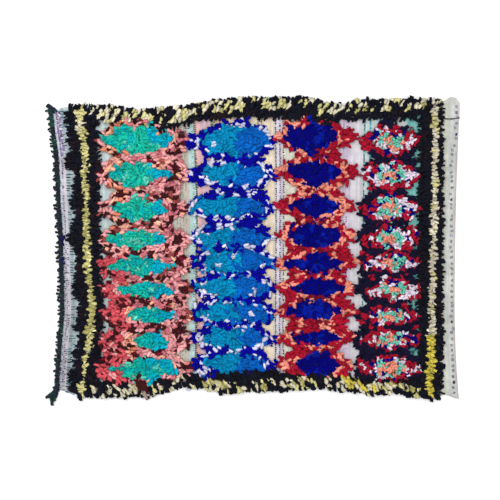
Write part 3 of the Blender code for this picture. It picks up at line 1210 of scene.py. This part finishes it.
@dataclass(frozen=True)
class KnotTree:
    """The node tree that ties a rag end at each knot."""

    name: str = "rag ends on knots"
    length_spread: float = 0.14
    seed: int = 7

    def build(self) -> bpy.types.NodeTree:
        """Build the tree with its named inputs."""
        tree = bpy.data.node_groups.new(self.name, "GeometryNodeTree")
        tree.is_modifier = True
        for name, kind in (
            ("Knots", "Geometry"), ("Rag Ends", "Collection"), ("Finish", "Material"),
            ("Roll Spread", "Float"), ("Length Spread", "Float"), ("Seed", "Int"),
        ):
            tree.interface.new_socket(name, in_out="INPUT", socket_type="NodeSocket" + kind)
        tree.interface.new_socket("Pile", in_out="OUTPUT", socket_type="NodeSocketGeometry")
        wire = Wiring(tree)
        given = wire.add("NodeGroupInput").outputs
        ends = wire.out("GeometryNodeCollectionInfo", {
            "Collection": given["Rag Ends"], "Separate Children": True, "Reset Children": True,
        })
        turn, size, kind = (
            wire.out("GeometryNodeInputNamedAttribute", {"Name": name}, data_type=data_type)
            for name, data_type in (("turn", "FLOAT_VECTOR"), ("size", "FLOAT_VECTOR"), ("kind", "INT"))
        )
        roll = wire.out("FunctionNodeRandomValue", {
            "Min": wire.math("MULTIPLY", given["Roll Spread"], -1.0),
            "Max": given["Roll Spread"],
            "Seed": given["Seed"],
        }, data_type="FLOAT")
        stretch = wire.out("FunctionNodeRandomValue", {
            "Min": wire.math("SUBTRACT", 1.0, given["Length Spread"]),
            "Max": wire.math("ADD", 1.0, given["Length Spread"]),
            "Seed": wire.math("ADD", given["Seed"], 1.0),
        }, data_type="FLOAT")
        rolled = wire.out("ShaderNodeVectorMath", {
            0: turn, 1: wire.out("ShaderNodeCombineXYZ", {"X": roll}),
        }, operation="ADD")
        tied = wire.out("GeometryNodeInstanceOnPoints", {
            "Points": given["Knots"], "Instance": ends, "Pick Instance": True, "Instance Index": kind,
            "Rotation": rolled, "Scale": wire.scaled(size, stretch),
        })
        real = wire.out("GeometryNodeRealizeInstances", {"Geometry": tied})
        dressed = wire.out("GeometryNodeSetMaterial", {"Geometry": real, "Material": given["Finish"]})
        wire.add("NodeGroupOutput", {"Pile": dressed})
        return tree


@dataclass
class KnotWorks:
    """Ties knots into finished pieces, each a plain mesh."""

    ends: RagEnds
    settings: KnotTree
    seed: int = 23
    cell_share: float = 0.86
    cell_margin: float = 0.07

    def __post_init__(self) -> None:
        """Make the rag ends and the tree once, for all pieces."""
        self.kinds = self.ends.collection()
        self.tree = self.settings.build()

    def knot_points(self, name: str, knots: Knots) -> bpy.types.Object:
        """Make a bare object with one vertex for each knot.

        Args:
            name: the piece's name.
            knots: its knots.

        Returns:
            The object, with the attributes that the tree reads.
        """
        draw = np.random.default_rng(self.seed)
        count = len(knots.x)
        mesh = bpy.data.meshes.new(name + "_knots")
        mesh.vertices.add(count)
        places = np.stack([knots.x, knots.y, knots.z], 1) * MM
        mesh.vertices.foreach_set("co", places.astype(np.float32).ravel())
        turns = np.stack([np.zeros(count), -knots.slope, knots.heading], 1)
        sizes = np.stack([knots.length, knots.width, knots.lift], 1) * MM
        put_attribute(mesh, "turn", "FLOAT_VECTOR", turns)
        put_attribute(mesh, "size", "FLOAT_VECTOR", sizes)
        put_attribute(mesh, "kind", "INT", draw.integers(0, self.ends.kinds, count))
        put_attribute(mesh, "rag_tone", "FLOAT", draw.random(count))
        put_attribute(mesh, "rag_colour", "FLOAT_COLOR", opaque(knots.colour))
        return placed(name + "_knots", mesh)

    def tie(
        self, name: str, knots: Knots, finish: bpy.types.Material, roll: float,
    ) -> bpy.types.Object:
        """Make one piece of pile.

        Args:
            name: the piece's name.
            knots: its knots.
            finish: its material.
            roll: how far each end may roll about its own length, in radians.

        Returns:
            The finished piece.
        """
        points = self.knot_points(name, knots)
        modifier = points.modifiers.new("Rag pile", "NODES")
        modifier.node_group = self.tree
        values = {
            "Rag Ends": self.kinds, "Finish": finish, "Roll Spread": roll,
            "Length Spread": self.settings.length_spread, "Seed": self.settings.seed,
        }
        for entry in self.tree.interface.items_tree:
            if entry.in_out == "INPUT" and entry.name in values:
                modifier[entry.identifier] = values[entry.name]
        shown = points.evaluated_get(bpy.context.evaluated_depsgraph_get())
        mesh = bpy.data.meshes.new_from_object(shown)
        mesh.name = name
        bpy.data.objects.remove(points, do_unlink=True)
        for spare in ("turn", "size", "kind"):
            if spare in mesh.attributes:
                mesh.attributes.remove(mesh.attributes[spare])
        self.spread_bake_map(mesh)
        piece = placed(name, mesh)
        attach(piece, BODY)
        LOG.info("%s: %d rag ends, %d triangles", name, len(knots.x), triangle_count(mesh))
        return piece

    def spread_bake_map(self, mesh: bpy.types.Mesh) -> None:
        """Give each rag end its own cell of the bake map.

        Args:
            mesh: the tied mesh, whose rag ends all lie on one cell.
        """
        layer = mesh.uv_layers[BAKE_MAP].uv
        places = np.empty(len(layer) * 2, np.float32)
        layer.foreach_get("vector", places)
        places = places.reshape(-1, 2)
        number = np.arange(len(places)) // self.ends.corners()
        cells = math.ceil(math.sqrt(number[-1] + 1))
        spread = places * self.cell_share + self.cell_margin
        spread[:, 0] += number % cells
        spread[:, 1] += number // cells
        layer.foreach_set("vector", (spread / cells).astype(np.float32).ravel())

    def clear(self) -> None:
        """Remove the rag ends that the pieces were made from."""
        for end in list(self.kinds.objects):
            bpy.data.objects.remove(end, do_unlink=True)
        bpy.data.collections.remove(self.kinds)


@dataclass(frozen=True)
class PileSection:
    """One piece of the pile: the zones it takes, and the stretch of the rug it covers."""

    name: str
    zones: tuple[Zone, ...]
    left: float
    right: float
    seed: int
    ground: float = 6.0
    lump: float = 2.4
    outward: float = 14.0
    slant: float = 1.0
    reach: float = 630.0
    jitter: float = 0.3
    core_middle: float = 0.78
    middle_stray: float = 3.4
    tip_start: float = 1.12
    tip_depth: float = 0.45

    def roots(self, knotting: Knotting) -> tuple[np.ndarray, np.ndarray]:
        """Set out the knots of one zone in rows across the rug, each shifted by half a knot."""
        draw = np.random.default_rng(self.seed)
        rows = np.arange(self.left, self.right, knotting.row_pitch)
        steps = np.arange(-self.reach, self.reach, knotting.knot_pitch)
        x, y = (grid.ravel() for grid in np.meshgrid(rows, steps, indexing="ij"))
        y = y + np.repeat(np.arange(len(rows)) % 2, len(steps)) * knotting.knot_pitch / 2
        x = x + draw.uniform(-self.jitter, self.jitter, len(x)) * knotting.row_pitch
        y = y + draw.uniform(-self.jitter, self.jitter, len(y)) * knotting.knot_pitch
        return x, y

    def headings(self, knotting: Knotting, x: np.ndarray, y: np.ndarray) -> np.ndarray:
        """Turn each rag end the way its zone lies, and outwards along the rug's own edges."""
        draw = np.random.default_rng(self.seed + 1)
        either = draw.random(len(x))
        stray = draw.normal(0.0, 1.0, len(x)) * knotting.stray
        middle_x, middle_y, half_width, half_depth = DESIGN.nearest(x, y).T
        out, up = x - middle_x, y - middle_y
        flip = np.where(either < 0.5, 0.0, math.pi)
        slant = np.where(y > 0, self.slant, -self.slant)
        if knotting.lay is Lay.SIDEWAYS:
            heading = flip + stray
        elif knotting.lay is Lay.SLANTING:
            heading = slant + flip + stray
        elif knotting.lay is Lay.OUTWARD:
            inside = np.where(DESIGN.distance(x, y) < self.core_middle, self.middle_stray, 1.0)
            heading = np.arctan2(up, out) + stray * inside
        elif knotting.lay is Lay.AROUND:
            around = np.arctan2(out / half_width ** 2, -up / half_depth ** 2) + flip
            sideways = np.where(out > 0, 0.0, math.pi)
            at_tip = (np.abs(out) > self.tip_start * half_width) & (np.abs(up) < self.tip_depth * half_depth)
            heading = np.where(at_tip, sideways, around) + stray
        else:
            heading = either * 2 * math.pi
        at_rim = (y > CLOTH.top(x) - self.outward) | (y < CLOTH.bottom(x) + self.outward)
        heading = np.where(at_rim, slant * 1.15 + stray * 0.8, heading)
        heading = np.where(~at_rim & (x > DESIGN.borders.pile_right - 9), stray * 1.3, heading)
        return np.where(~at_rim & (x < DESIGN.borders.left_edge(x, y) + 12), math.pi + stray * 0.8, heading)

    def zone_knots(self, zone: Zone) -> Knots:
        """Knot one zone of this piece.

        Args:
            zone: the zone.

        Returns:
            Its knots.
        """
        knotting = KNOTTING[zone]
        x, y = self.roots(knotting)
        own = DESIGN.zones(x, y) == zone.value
        x, y = x[own], y[own]
        draw = np.random.default_rng(self.seed + zone.value)
        count = len(x)
        heading = self.headings(knotting, x, y)
        length = knotting.length * draw.uniform(0.86, 1.14, count)
        seen_x, seen_y = x + 0.5 * length * np.cos(heading), y + 0.5 * length * np.sin(heading)
        crossing = DESIGN.borders.in_field(seen_x, seen_y) & ~DESIGN.borders.in_field(x, y)
        seen_x, seen_y = np.where(crossing, x, seen_x), np.where(crossing, y, seen_y)
        ground = self.ground + self.lump * Drift(81, 50.0).at(x, y)
        return Knots(
            x=x, y=y, z=ground + draw.uniform(-1.0, 1.0, count) * knotting.uneven,
            heading=heading,
            slope=np.clip(draw.normal(knotting.slope, 0.12 * knotting.uneven, count), 0.02, 1.1),
            length=length,
            width=knotting.width * draw.uniform(0.8, 1.2, count),
            lift=knotting.lift * draw.uniform(0.7, 1.2, count),
            colour=DESIGN.colours(seen_x, seen_y),
        ).toned(knotting.tone, self.seed + 31 * zone.value)

    def build(self, works: KnotWorks, finish: bpy.types.Material) -> bpy.types.Object:
        """Make the piece.

        Args:
            works: what ties the knots.
            finish: the rag finish.

        Returns:
            The finished piece.
        """
        knots = Knots.joined([self.zone_knots(zone) for zone in self.zones])
        return works.tie(self.name, knots, finish, roll=0.34)


FIELD = (Zone.CORE, Zone.RING)
PILE_SECTIONS = (
    PileSection("side_borders", (Zone.SIDE_DARK, Zone.SIDE_PALE), -760, 770, seed=101),
    PileSection("long_borders", (Zone.LONG_DARK, Zone.LONG_PALE), -760, 770, seed=111),
    PileSection("turquoise_column", FIELD, -640, -250, seed=121),
    PileSection("azure_column", FIELD, -250, 93, seed=131),
    PileSection("ultramarine_column", FIELD, 93, 409, seed=141),
    PileSection("mosaic_column", (Zone.MOSAIC, Zone.RING), 409, 690, seed=151),
)


@dataclass(frozen=True)
class FlatWeave:
    """The woven cloth that everything is knotted into, with its hemmed right end."""

    name: str = "flat_weave"
    woven: float = 4.5
    hem: float = 6.5
    hem_start: float = 776.0
    thinnest: float = 2.2
    rim_share: float = 0.55
    fine_pitch: float = 4.4
    coarse_pitch: float = 11.0
    rows: int = 96
    cord: float = 0.35
    sway: float = 0.9
    under_pile_painted_shade: float = 0.7
    knot_back: float = 0.6
    left_end: float = -700.0
    flat_size: tuple[float, float] = (1.17, 1.60)
    map_span: float = 1.7
    face_map: tuple[float, float] = (0.85, 0.24)
    under_map: tuple[float, float] = (0.45, -0.045)
    bands: tuple[WeftBand, ...] = (
        WeftBand(-762, (188, 192, 202)), WeftBand(-749, (186, 180, 188)), WeftBand(-743, (208, 202, 212)),
        WeftBand(-732, (164, 178, 186)), WeftBand(-718, (186, 202, 208)),
        WeftBand(-619, (192, 206, 208)), WeftBand(-560, (196, 194, 182)),
        WeftBand(-297, (194, 186, 174)), WeftBand(-249, (188, 216, 214)), WeftBand(-226, (120, 148, 130)),
        WeftBand(-221, (228, 178, 180)), WeftBand(-200, (216, 184, 194)), WeftBand(-162, (178, 188, 160)),
        WeftBand(-146, (218, 188, 162)), WeftBand(-106, (222, 202, 178)), WeftBand(0, (220, 210, 182)),
        WeftBand(37, (234, 216, 192)), WeftBand(83, (208, 200, 194)), WeftBand(97, (216, 208, 222)),
        WeftBand(109, (198, 186, 202)), WeftBand(121, (216, 212, 198)), WeftBand(169, (208, 202, 198)),
        WeftBand(328, (208, 192, 212)), WeftBand(387, (212, 208, 214)), WeftBand(435, (140, 196, 196)),
        WeftBand(443, (206, 216, 214)), WeftBand(459, (110, 192, 202)), WeftBand(467, (202, 212, 210)),
        WeftBand(491, (90, 194, 206)), WeftBand(502, (198, 200, 198)), WeftBand(600, (118, 186, 182)),
        WeftBand(658, (70, 90, 96)), WeftBand(700, (50, 50, 60)), WeftBand(742, (202, 204, 190)),
        WeftBand(764, (202, 204, 199)), WeftBand(784, (204, 206, 202)), WeftBand(801, (208, 200, 196)),
    )
    fine_spans: tuple[tuple[float, float], ...] = (
        (-762, -700), (-622, -545), (-310, -100), (0, 172), (325, 510), (596, 662), (752, 806),
    )

    def stations(self) -> np.ndarray:
        """Places of the mesh's columns: close in the bare bands, and wider under the pile."""
        places, here, end = [CLOTH.left_waist], CLOTH.left_waist, CLOTH.right_waist
        while here < end - self.coarse_pitch:
            fine = any(low <= here <= high for low, high in self.fine_spans)
            here += self.fine_pitch if fine else self.coarse_pitch
            places.append(here)
        places[-1] = end
        return np.array(places)

    def heights(self, along: np.ndarray, x: np.ndarray, y: np.ndarray, number: np.ndarray) -> np.ndarray:
        """Height of the cloth's face.

        Args:
            along: places along the rug at mid width.
            x: where they lie.
            y: their places across the rug.
            number: the number of each one's mesh column.

        Returns:
            The height of each.
        """
        level = self.woven + (self.hem - self.woven) * eased((along - self.hem_start + 6) / 8)
        level = level + self.cord * np.where(number % 2 == 0, 1.0, -1.0)
        level = level + self.sway * Drift(91, 90.0).at(x, y) + 0.4 * Drift(93, 24.0).at(x, y)
        return np.maximum(level, self.thinnest)

    def colours(self, along: np.ndarray, x: np.ndarray, y: np.ndarray) -> tuple[np.ndarray, np.ndarray]:
        """Dye the wefts; under the pile the face takes the pile's colours darkened as painted shade in the
        gaps between the rag ends, and the underside takes the backs of the knots.

        Args:
            along: places along the rug at mid width.
            x: where they lie.
            y: their places across the rug.

        Returns:
            The linear colours of the face and of the underside.
        """
        starts = np.array([band.start for band in self.bands])
        dyes = np.array([linear(band.colour) for band in self.bands])
        ragged = Drift(95, 40.0).at(x, y) * 2.0
        wefts = dyes[np.clip(np.searchsorted(starts, along + ragged, side="right") - 1, 0, len(starts) - 1)]
        stripes = 0.14 * Drift(97, 5.0).at(along, y * 0.04) + 0.07 * Drift(99, 45.0).at(x, y)
        stripes = stripes + 0.08 * Drift(98, 14.0).at(x, y)
        stripes = stripes - 0.20 * (along < self.left_end) * eased((40.0 - y) / 240.0)
        wefts = wefts * np.exp(stripes)[:, None]
        rags = DESIGN.colours(x, y)
        backs = rags * self.knot_back + wefts * (1.0 - self.knot_back)
        knotted = (DESIGN.zones(x, y) != Zone.BARE.value)[:, None]
        # Under the pile the face is the pile's colours darkened: painted shade that shows in the gaps
        # between the rag ends.
        return np.where(knotted, rags * self.under_pile_painted_shade, wefts), np.where(knotted, backs, wefts)

    def build(self, finish: bpy.types.Material, on_it: list[bpy.types.Object]) -> bpy.types.Object:
        """Args:
            finish: the weave finish.
            on_it: the pieces that are knotted or sewn into it; not used.

        Returns:
            The finished piece.
        """
        along = self.stations()
        columns, rows = len(along), self.rows
        grid_along = np.repeat(along, rows)
        up = np.tile(np.linspace(0.0, 1.0, rows), columns)
        x, y = CLOTH.place(grid_along, up)
        number = np.repeat(np.arange(columns), rows)
        z = self.heights(grid_along, x, y, number)
        rim_row = np.isin(np.tile(np.arange(rows), columns), (0, rows - 1))
        rim_column = np.isin(number, (0, columns - 1))
        z = np.where(rim_row | rim_column, z * self.rim_share, z)
        index = np.arange(columns * rows).reshape(columns, rows)
        border = np.concatenate([index[:, 0], index[-1, 1:], index[-2::-1, -1], index[0, -2:0:-1]])
        top = np.stack([x, y, z], 1)
        points = np.concatenate([top, top * (1, 1, 0)]) * MM
        quads = np.stack([index[:-1, :-1], index[1:, :-1], index[1:, 1:], index[:-1, 1:]], -1).reshape(-1, 4)
        base = border + columns * rows
        walls = np.stack([border, base, np.roll(base, -1), np.roll(border, -1)], 1)
        underside = quads[:, ::-1] + columns * rows
        mesh = bpy.data.meshes.new(self.name)
        mesh.from_pydata(points.tolist(), [], np.concatenate([quads, walls, underside]).tolist())
        mesh.polygons.foreach_set("use_smooth", np.arange(len(mesh.polygons)) < len(quads) + len(walls))
        dyes = np.concatenate(self.colours(grid_along, x, y))
        put_attribute(mesh, "weft_place", "FLOAT", np.tile(grid_along, 2))
        put_attribute(mesh, "warp_place", "FLOAT", np.tile(y, 2))
        put_attribute(mesh, "weft_colour", "FLOAT_COLOR", opaque(dyes))
        self.lay_bake_map(mesh, points, len(quads))
        mesh.materials.append(finish)
        piece = placed(self.name, mesh)
        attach(piece, BODY)
        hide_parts("rug_body")
        LOG.info("%s: %d by %d stations, %d triangles", self.name, columns, rows, triangle_count(mesh))
        return piece

    def lay_bake_map(self, mesh: bpy.types.Mesh, points: np.ndarray, face_quads: int) -> None:
        """Give the face the upper part of the bake map, and the underside and walls the lower part."""
        corner = np.empty(len(mesh.loops), np.int32)
        mesh.loops.foreach_get("vertex_index", corner)
        sides = np.empty(len(mesh.polygons), np.int32)
        mesh.polygons.foreach_get("loop_total", sides)
        spread = points[corner][:, :2] / self.map_span + 0.5
        low = np.repeat(np.arange(len(sides)) >= face_quads, sides)
        face, under = (spread[:, 1] * scale + shift for scale, shift in (self.face_map, self.under_map))
        places = np.clip(np.stack([spread[:, 0], np.where(low, under, face)], 1), 0, 1)
        mesh.uv_layers.new(name=BAKE_MAP).uv.foreach_set("vector", places.astype(np.float32).ravel())


class StitchLine(NamedTuple):
    """A line of short yarn marks across the rug: its place, spacing, sizes, yarns and stretch."""

    along: float
    pitch: float
    length: float
    width: float
    rags: Mix
    heading: float = 0.0
    low: float = -560.0
    high: float = 590.0
    share: float = 0.9
    height: float = 4.6


@dataclass(frozen=True)
class YarnMarks:
    """Short floats of yarn on the bare weave: dotted warps and ticks at the left end."""

    name: str = "woven_yarn_marks"
    seed: int = 171
    rim: float = 6.0
    lines: tuple[StitchLine, ...] = (
        StitchLine(-757, 9.0, 5, 3, mix(SLATE_YARN=1.0), share=0.4),
        StitchLine(-750, 8.0, 6, 3.8, mix(PLUM_YARN=0.6, SLATE_YARN=0.4), share=0.75),
        StitchLine(-734, 10.5, 16, 3.6, mix(TEAL_YARN=0.55, SOOT=0.45), share=0.68),
        StitchLine(-757, 7.6, 6, 3.2, mix(SOOT=0.5, PLUM_YARN=0.5), high=20.0, share=0.55),
        StitchLine(-743, 7.6, 6, 3.2, mix(SOOT=0.6, PLUM_YARN=0.4), high=20.0, share=0.55),
        StitchLine(-722, 8.4, 8, 3.2, mix(SOOT=0.6, TEAL_YARN=0.4), high=20.0, share=0.5),
        StitchLine(-250, 9.0, 9, 4, mix(COBALT=1.0), low=430.0, share=0.6),
        StitchLine(-717, 10.5, 12, 3.6, mix(TEAL_YARN=0.5, SLATE_YARN=0.5), share=0.5),
        StitchLine(-750, 6.0, 10, 6, mix(VIOLET_YARN=1.0), low=380.0, share=0.7),
        StitchLine(-740, 7.0, 9, 6, mix(VIOLET_YARN=0.8, PLUM_YARN=0.2), low=400.0, share=0.6),
        StitchLine(-263, 9.0, 9, 4, mix(COBALT=1.0), low=440.0, share=0.7),
        StitchLine(-226, 7.5, 9, 4, mix(GREEN_YARN=1.0)),
        StitchLine(-158, 8.0, 6, 4, mix(GREEN_YARN=0.6, SOOT=0.4)),
        StitchLine(-148, 8.0, 6, 4, mix(GREEN_YARN=0.5, PLUM_YARN=0.5), share=0.6),
        StitchLine(22, 8.0, 5, 5, mix(SOOT=1.0)),
        StitchLine(35, 8.0, 5, 5, mix(SOOT=0.7, PLUM_YARN=0.3)),
        StitchLine(90, 8.0, 5, 5, mix(SOOT=1.0)),
        StitchLine(106, 8.0, 5, 5, mix(PLUM_YARN=0.6, SOOT=0.4)),
        StitchLine(120, 8.0, 5, 5, mix(PLUM_YARN=0.7, SOOT=0.3)),
        StitchLine(-300, 6.6, 4, 2.6, mix(TAUPE_YARN=1.0), share=0.8),
        StitchLine(-289, 6.6, 4, 2.6, mix(TAUPE_YARN=0.9, BROWN_SOOT=0.1), share=0.8),
        StitchLine(-277, 6.6, 4, 2.6, mix(TAUPE_YARN=0.9, BROWN_SOOT=0.1), share=0.8),
        StitchLine(-265, 6.6, 4, 2.6, mix(TAUPE_YARN=1.0), share=0.7),
        StitchLine(-236, 9.0, 7, 3, mix(SLATE_YARN=1.0), share=0.5),
        StitchLine(344, 7.0, 4, 2.6, mix(TAUPE_YARN=0.6, PLUM_YARN=0.4), share=0.5),
        StitchLine(356, 7.0, 4, 2.6, mix(TAUPE_YARN=0.6, PLUM_YARN=0.4), share=0.6),
        StitchLine(368, 9.0, 5, 3, mix(PLUM_YARN=1.0), share=0.3),
        StitchLine(438, 9.0, 8, 4, mix(TEAL_YARN=1.0), heading=1.5, share=0.6),
        StitchLine(462, 9.0, 8, 4, mix(TEAL_YARN=1.0), heading=1.5, share=0.6),
    )

    def line(self, line: StitchLine, number: int) -> Knots:
        """Set out one line of marks.

        Args:
            line: the line.
            number: its number, which seeds its draw.

        Returns:
            Its marks as knots.
        """
        draw = np.random.default_rng(self.seed + number)
        y = np.arange(line.low, line.high, line.pitch)
        y = y + draw.uniform(-0.12, 0.12, len(y)) * line.pitch
        y = y[draw.random(len(y)) < line.share]
        x = CLOTH.lay(line.along + draw.uniform(-1.0, 1.0, len(y)), y)
        clear = (y < CLOTH.top(x) - self.rim) & (y > CLOTH.bottom(x) + self.rim)
        clear &= DESIGN.zones(x, y) == Zone.BARE.value
        x, y = x[clear], y[clear]
        count = len(x)
        return Knots(
            x=x, y=y, z=np.full(count, line.height),
            heading=line.heading + draw.normal(0.0, 0.12, count),
            slope=np.zeros(count),
            length=line.length * draw.uniform(0.8, 1.25, count),
            width=np.full(count, line.width),
            lift=np.full(count, 1.4),
            colour=pick(line.rags, draw.random(count)),
        )

    def build(self, works: KnotWorks, finish: bpy.types.Material) -> bpy.types.Object:
        """Make the piece; the arguments and the result are those of PileSection.build."""
        knots = Knots.joined([self.line(line, number) for number, line in enumerate(self.lines)])
        return works.tie(self.name, knots.toned(0.12, self.seed), finish, roll=0.0)


@dataclass(frozen=True)
class HemStitches:
    """The grey stitches of the hem at the right end."""

    name: str = "hem_stitches"
    seed: int = 181
    line: Line = (
        (-580, 798), (-300, 792), (0, 790), (320, 789), (392, 792), (440, 806), (590, 811),
    )
    pitch: float = 21.5
    height: float = 6.6
    low: float = -572.0
    high: float = 580.0

    def build(self, works: KnotWorks, finish: bpy.types.Material) -> bpy.types.Object:
        """Make the piece; the arguments and the result are those of PileSection.build."""
        draw = np.random.default_rng(self.seed)
        y = np.arange(self.low, self.high, self.pitch)
        y = y + draw.uniform(-0.25, 0.25, len(y)) * self.pitch
        x = read_line(self.line, y) + draw.normal(0.0, 0.9, len(y))
        count = len(y)
        stitches = Knots(
            x=x, y=y, z=np.full(count, self.height),
            heading=draw.normal(1.45, 0.3, count), slope=np.zeros(count),
            length=draw.uniform(9, 12, count), width=draw.uniform(8, 11, count), lift=np.full(count, 1.4),
            colour=pick(mix(SLATE_YARN=0.9, PLUM_YARN=0.1), draw.random(count)),
        ).toned(0.16, self.seed)
        return works.tie(self.name, stitches, finish, roll=0.0)


@dataclass(frozen=True)
class LooseStrands:
    """Strands that work loose at the edges: an umber lock, a teal yarn and the dark yarn over the hem."""

    name: str = "loose_strands"
    height: float = 5.2
    slope: float = -0.06
    lock_height: float = 19.0
    lock_slope: float = -0.16
    lock: tuple[Strand, ...] = (
        Strand(-462, -514, 66, 20, -1.10, Rag.UMBER), Strand(-446, -512, 72, 20, -1.24, Rag.UMBER),
        Strand(-432, -514, 70, 18, -1.38, Rag.UMBER), Strand(-430, -556, 36, 13, -1.35, Rag.TAUPE_YARN),
    )
    strands: tuple[Strand, ...] = (
        Strand(-246, -537, 13, 6, -1.50, Rag.TEAL_YARN), Strand(-252, -540, 16, 14, -1.70, Rag.LAVENDER),
        Strand(-770, 44, 24, 15, 0.30, Rag.NAVY), Strand(-768, 28, 22, 14, -0.10, Rag.NAVY),
        Strand(-752, 38, 16, 14, 2.60, Rag.NAVY), Strand(-766, -36, 22, 14, 0.10, Rag.NAVY),
        Strand(-764, -50, 20, 12, -0.20, Rag.NAVY),
        Strand(748, 526, 28, 4, -0.10, Rag.SOOT), Strand(774, 523, 28, 4, 0.02, Rag.MIDNIGHT),
        Strand(799, 524, 25, 4, 0.14, Rag.SOOT),
    )

    def build(self, works: KnotWorks, finish: bpy.types.Material) -> bpy.types.Object:
        """Make the piece; the arguments and the result are those of PileSection.build."""
        knots = Knots.joined([
            Knots.laid(self.lock, self.lock_height, self.lock_slope),
            Knots.laid(self.strands, self.height, self.slope),
        ])
        return works.tie(self.name, knots, finish, roll=0.0)


@dataclass(frozen=True)
class LeftFringe:
    """Dark rag ends along the left end, with a spike at the upper corner and a tail at the lower one."""

    name: str = "rag_fringe"
    seed: int = 191
    body_pitch: float = 3.6
    lock_pitch: float = 12.0
    low: float = -558.0
    high: float = 566.0
    strands: tuple[Strand, ...] = (
        Strand(-784, 545, 38, 13, 2.62, Rag.BOTTLE), Strand(-780, 556, 42, 14, 2.66, Rag.MIDNIGHT),
        Strand(-788, 562, 34, 10, 2.50, Rag.BOTTLE), Strand(-776, 548, 30, 12, 2.20, Rag.FOREST),
        Strand(-768, -528, 36, 16, -2.20, Rag.BOTTLE), Strand(-772, -542, 38, 16, -2.00, Rag.BOTTLE),
        Strand(-784, -552, 34, 16, -2.20, Rag.FOREST), Strand(-776, -556, 30, 14, -1.90, Rag.MIDNIGHT),
        Strand(-792, -566, 32, 15, -1.90, Rag.BOTTLE), Strand(-786, -574, 28, 13, -1.60, Rag.FOREST),
        Strand(-800, -578, 28, 14, -1.50, Rag.BOTTLE), Strand(-794, -590, 26, 12, -1.90, Rag.BOTTLE),
        Strand(-802, -592, 26, 11, -1.30, Rag.MIDNIGHT), Strand(-800, -568, 30, 11, -2.60, Rag.BOTTLE),
        Strand(-796, -578, 26, 9, -2.90, Rag.BOTTLE),
    )

    def row(self, pitch: float, inset: float, length: tuple[float, float], width: float, seed: int) -> Knots:
        """Tie one row of rag ends along the left end.

        Args:
            pitch: how far apart they are.
            inset: how far inside the cloth's end they are tied.
            length: the shortest and the longest.
            width: their width.
            seed: the seed of their draw.

        Returns:
            Their knots.
        """
        draw = np.random.default_rng(seed)
        y = np.arange(self.low, self.high, pitch)
        y = y + draw.uniform(-0.4, 0.4, len(y)) * pitch
        count = len(y)
        dyes = mix(BOTTLE=0.42, FOREST=0.16, MIDNIGHT=0.24, SOOT=0.18)
        return Knots(
            x=CLOTH.left(y) + inset + draw.normal(0.0, 1.2, count), y=y,
            z=draw.uniform(2.2, 4.6, count),
            heading=math.pi + draw.normal(0.0, 0.5, count), slope=draw.normal(0.0, 0.05, count),
            length=draw.uniform(*length, count), width=width * draw.uniform(0.8, 1.25, count),
            lift=draw.uniform(2.5, 5.0, count),
            colour=pick(dyes, RagRuns(seed, 40.0, 34.0).draw(y * 0, y)),
        )

    def build(self, works: KnotWorks, finish: bpy.types.Material) -> bpy.types.Object:
        """Make the piece; the arguments and the result are those of PileSection.build."""
        knots = Knots.joined([
            self.row(self.body_pitch, 1.0, (14, 17), 8.0, self.seed + 1),
            self.row(self.body_pitch, -6.0, (8, 12), 8.0, self.seed + 2),
            self.row(self.lock_pitch, -9.0, (14, 21), 8.5, self.seed + 3),
            Knots.laid(self.strands, 3.6),
        ]).toned(0.25, self.seed)
        piece = works.tie(self.name, knots, finish, roll=0.3)
        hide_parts("left_end_fringe")
        return piece


@dataclass(frozen=True)
class Studio:
    """The pale floor, the soft light and the camera straight above the rug."""

    floor_side: float = 14.0
    view_width: float = 1.99
    view_middle: tuple[float, float] = (-0.0105, 0.0025)
    camera_height: float = 4.2
    sky: float = 1.14
    lamp_power: float = 60.0
    lamp_side: float = 2.2
    lamp_place: tuple[float, float, float] = (-1.9, 2.1, 3.0)

    def floor(self) -> None:
        """Lay the floor."""
        half = self.floor_side / 2
        mesh = bpy.data.meshes.new("floor")
        corners = [(-half, -half, 0), (half, -half, 0), (half, half, 0), (-half, half, 0)]
        mesh.from_pydata(corners, [], [(0, 1, 2, 3)])
        mesh.materials.append(FloorFinish().material())
        floor = placed("floor", mesh)

    def light(self) -> None:
        """Light the rug evenly from all round, with one wide soft lamp from its upper left."""
        scene = bpy.context.scene
        scene.world = bpy.data.worlds.new("studio")
        scene.world.use_nodes = True
        sky = scene.world.node_tree.nodes["Background"]
        sky.inputs["Color"].default_value = (1.0, 1.0, 1.0, 1.0)
        sky.inputs["Strength"].default_value = self.sky
        lamp = bpy.data.lights.new("softbox", "AREA")
        lamp.energy = self.lamp_power
        lamp.size = self.lamp_side
        holder = placed("softbox", lamp)
        across, up, height = self.lamp_place
        holder.location = self.lamp_place
        holder.rotation_euler = (-math.atan2(up, height), -math.atan2(-across, math.hypot(up, height)), 0.0)
        scene.view_settings.view_transform = "Standard"

    def camera(self) -> None:
        """Hang the camera straight above the rug."""
        camera = bpy.data.cameras.new("camera")
        camera.lens = camera.sensor_width * self.camera_height / self.view_width
        holder = placed("camera", camera)
        holder.location = (*self.view_middle, self.camera_height)
        bpy.context.scene.camera = holder


def main() -> None:
    """Build the rug piece by piece."""
    logging.basicConfig(level=logging.INFO, format="%(name)s: %(message)s")
    studio = Studio()
    studio.camera()
    studio.floor()
    studio.light()
    works = KnotWorks(RagEnds(), KnotTree())
    rags = RagFinish("rag cloth").material()
    fringe_rags = RagFinish("dark fringe cloth", sheen=0.1).material()
    yarn = RagFinish("yarn", streak=0.12).material()
    on_it = [section.build(works, rags) for section in PILE_SECTIONS]
    on_it.append(YarnMarks().build(works, yarn))
    on_it.append(HemStitches().build(works, yarn))
    on_it.append(LooseStrands().build(works, rags))
    on_it.append(LeftFringe().build(works, fringe_rags))
    works.clear()
    FlatWeave().build(WeaveFinish().material(), on_it)


if __name__ == "__main__":
    main()
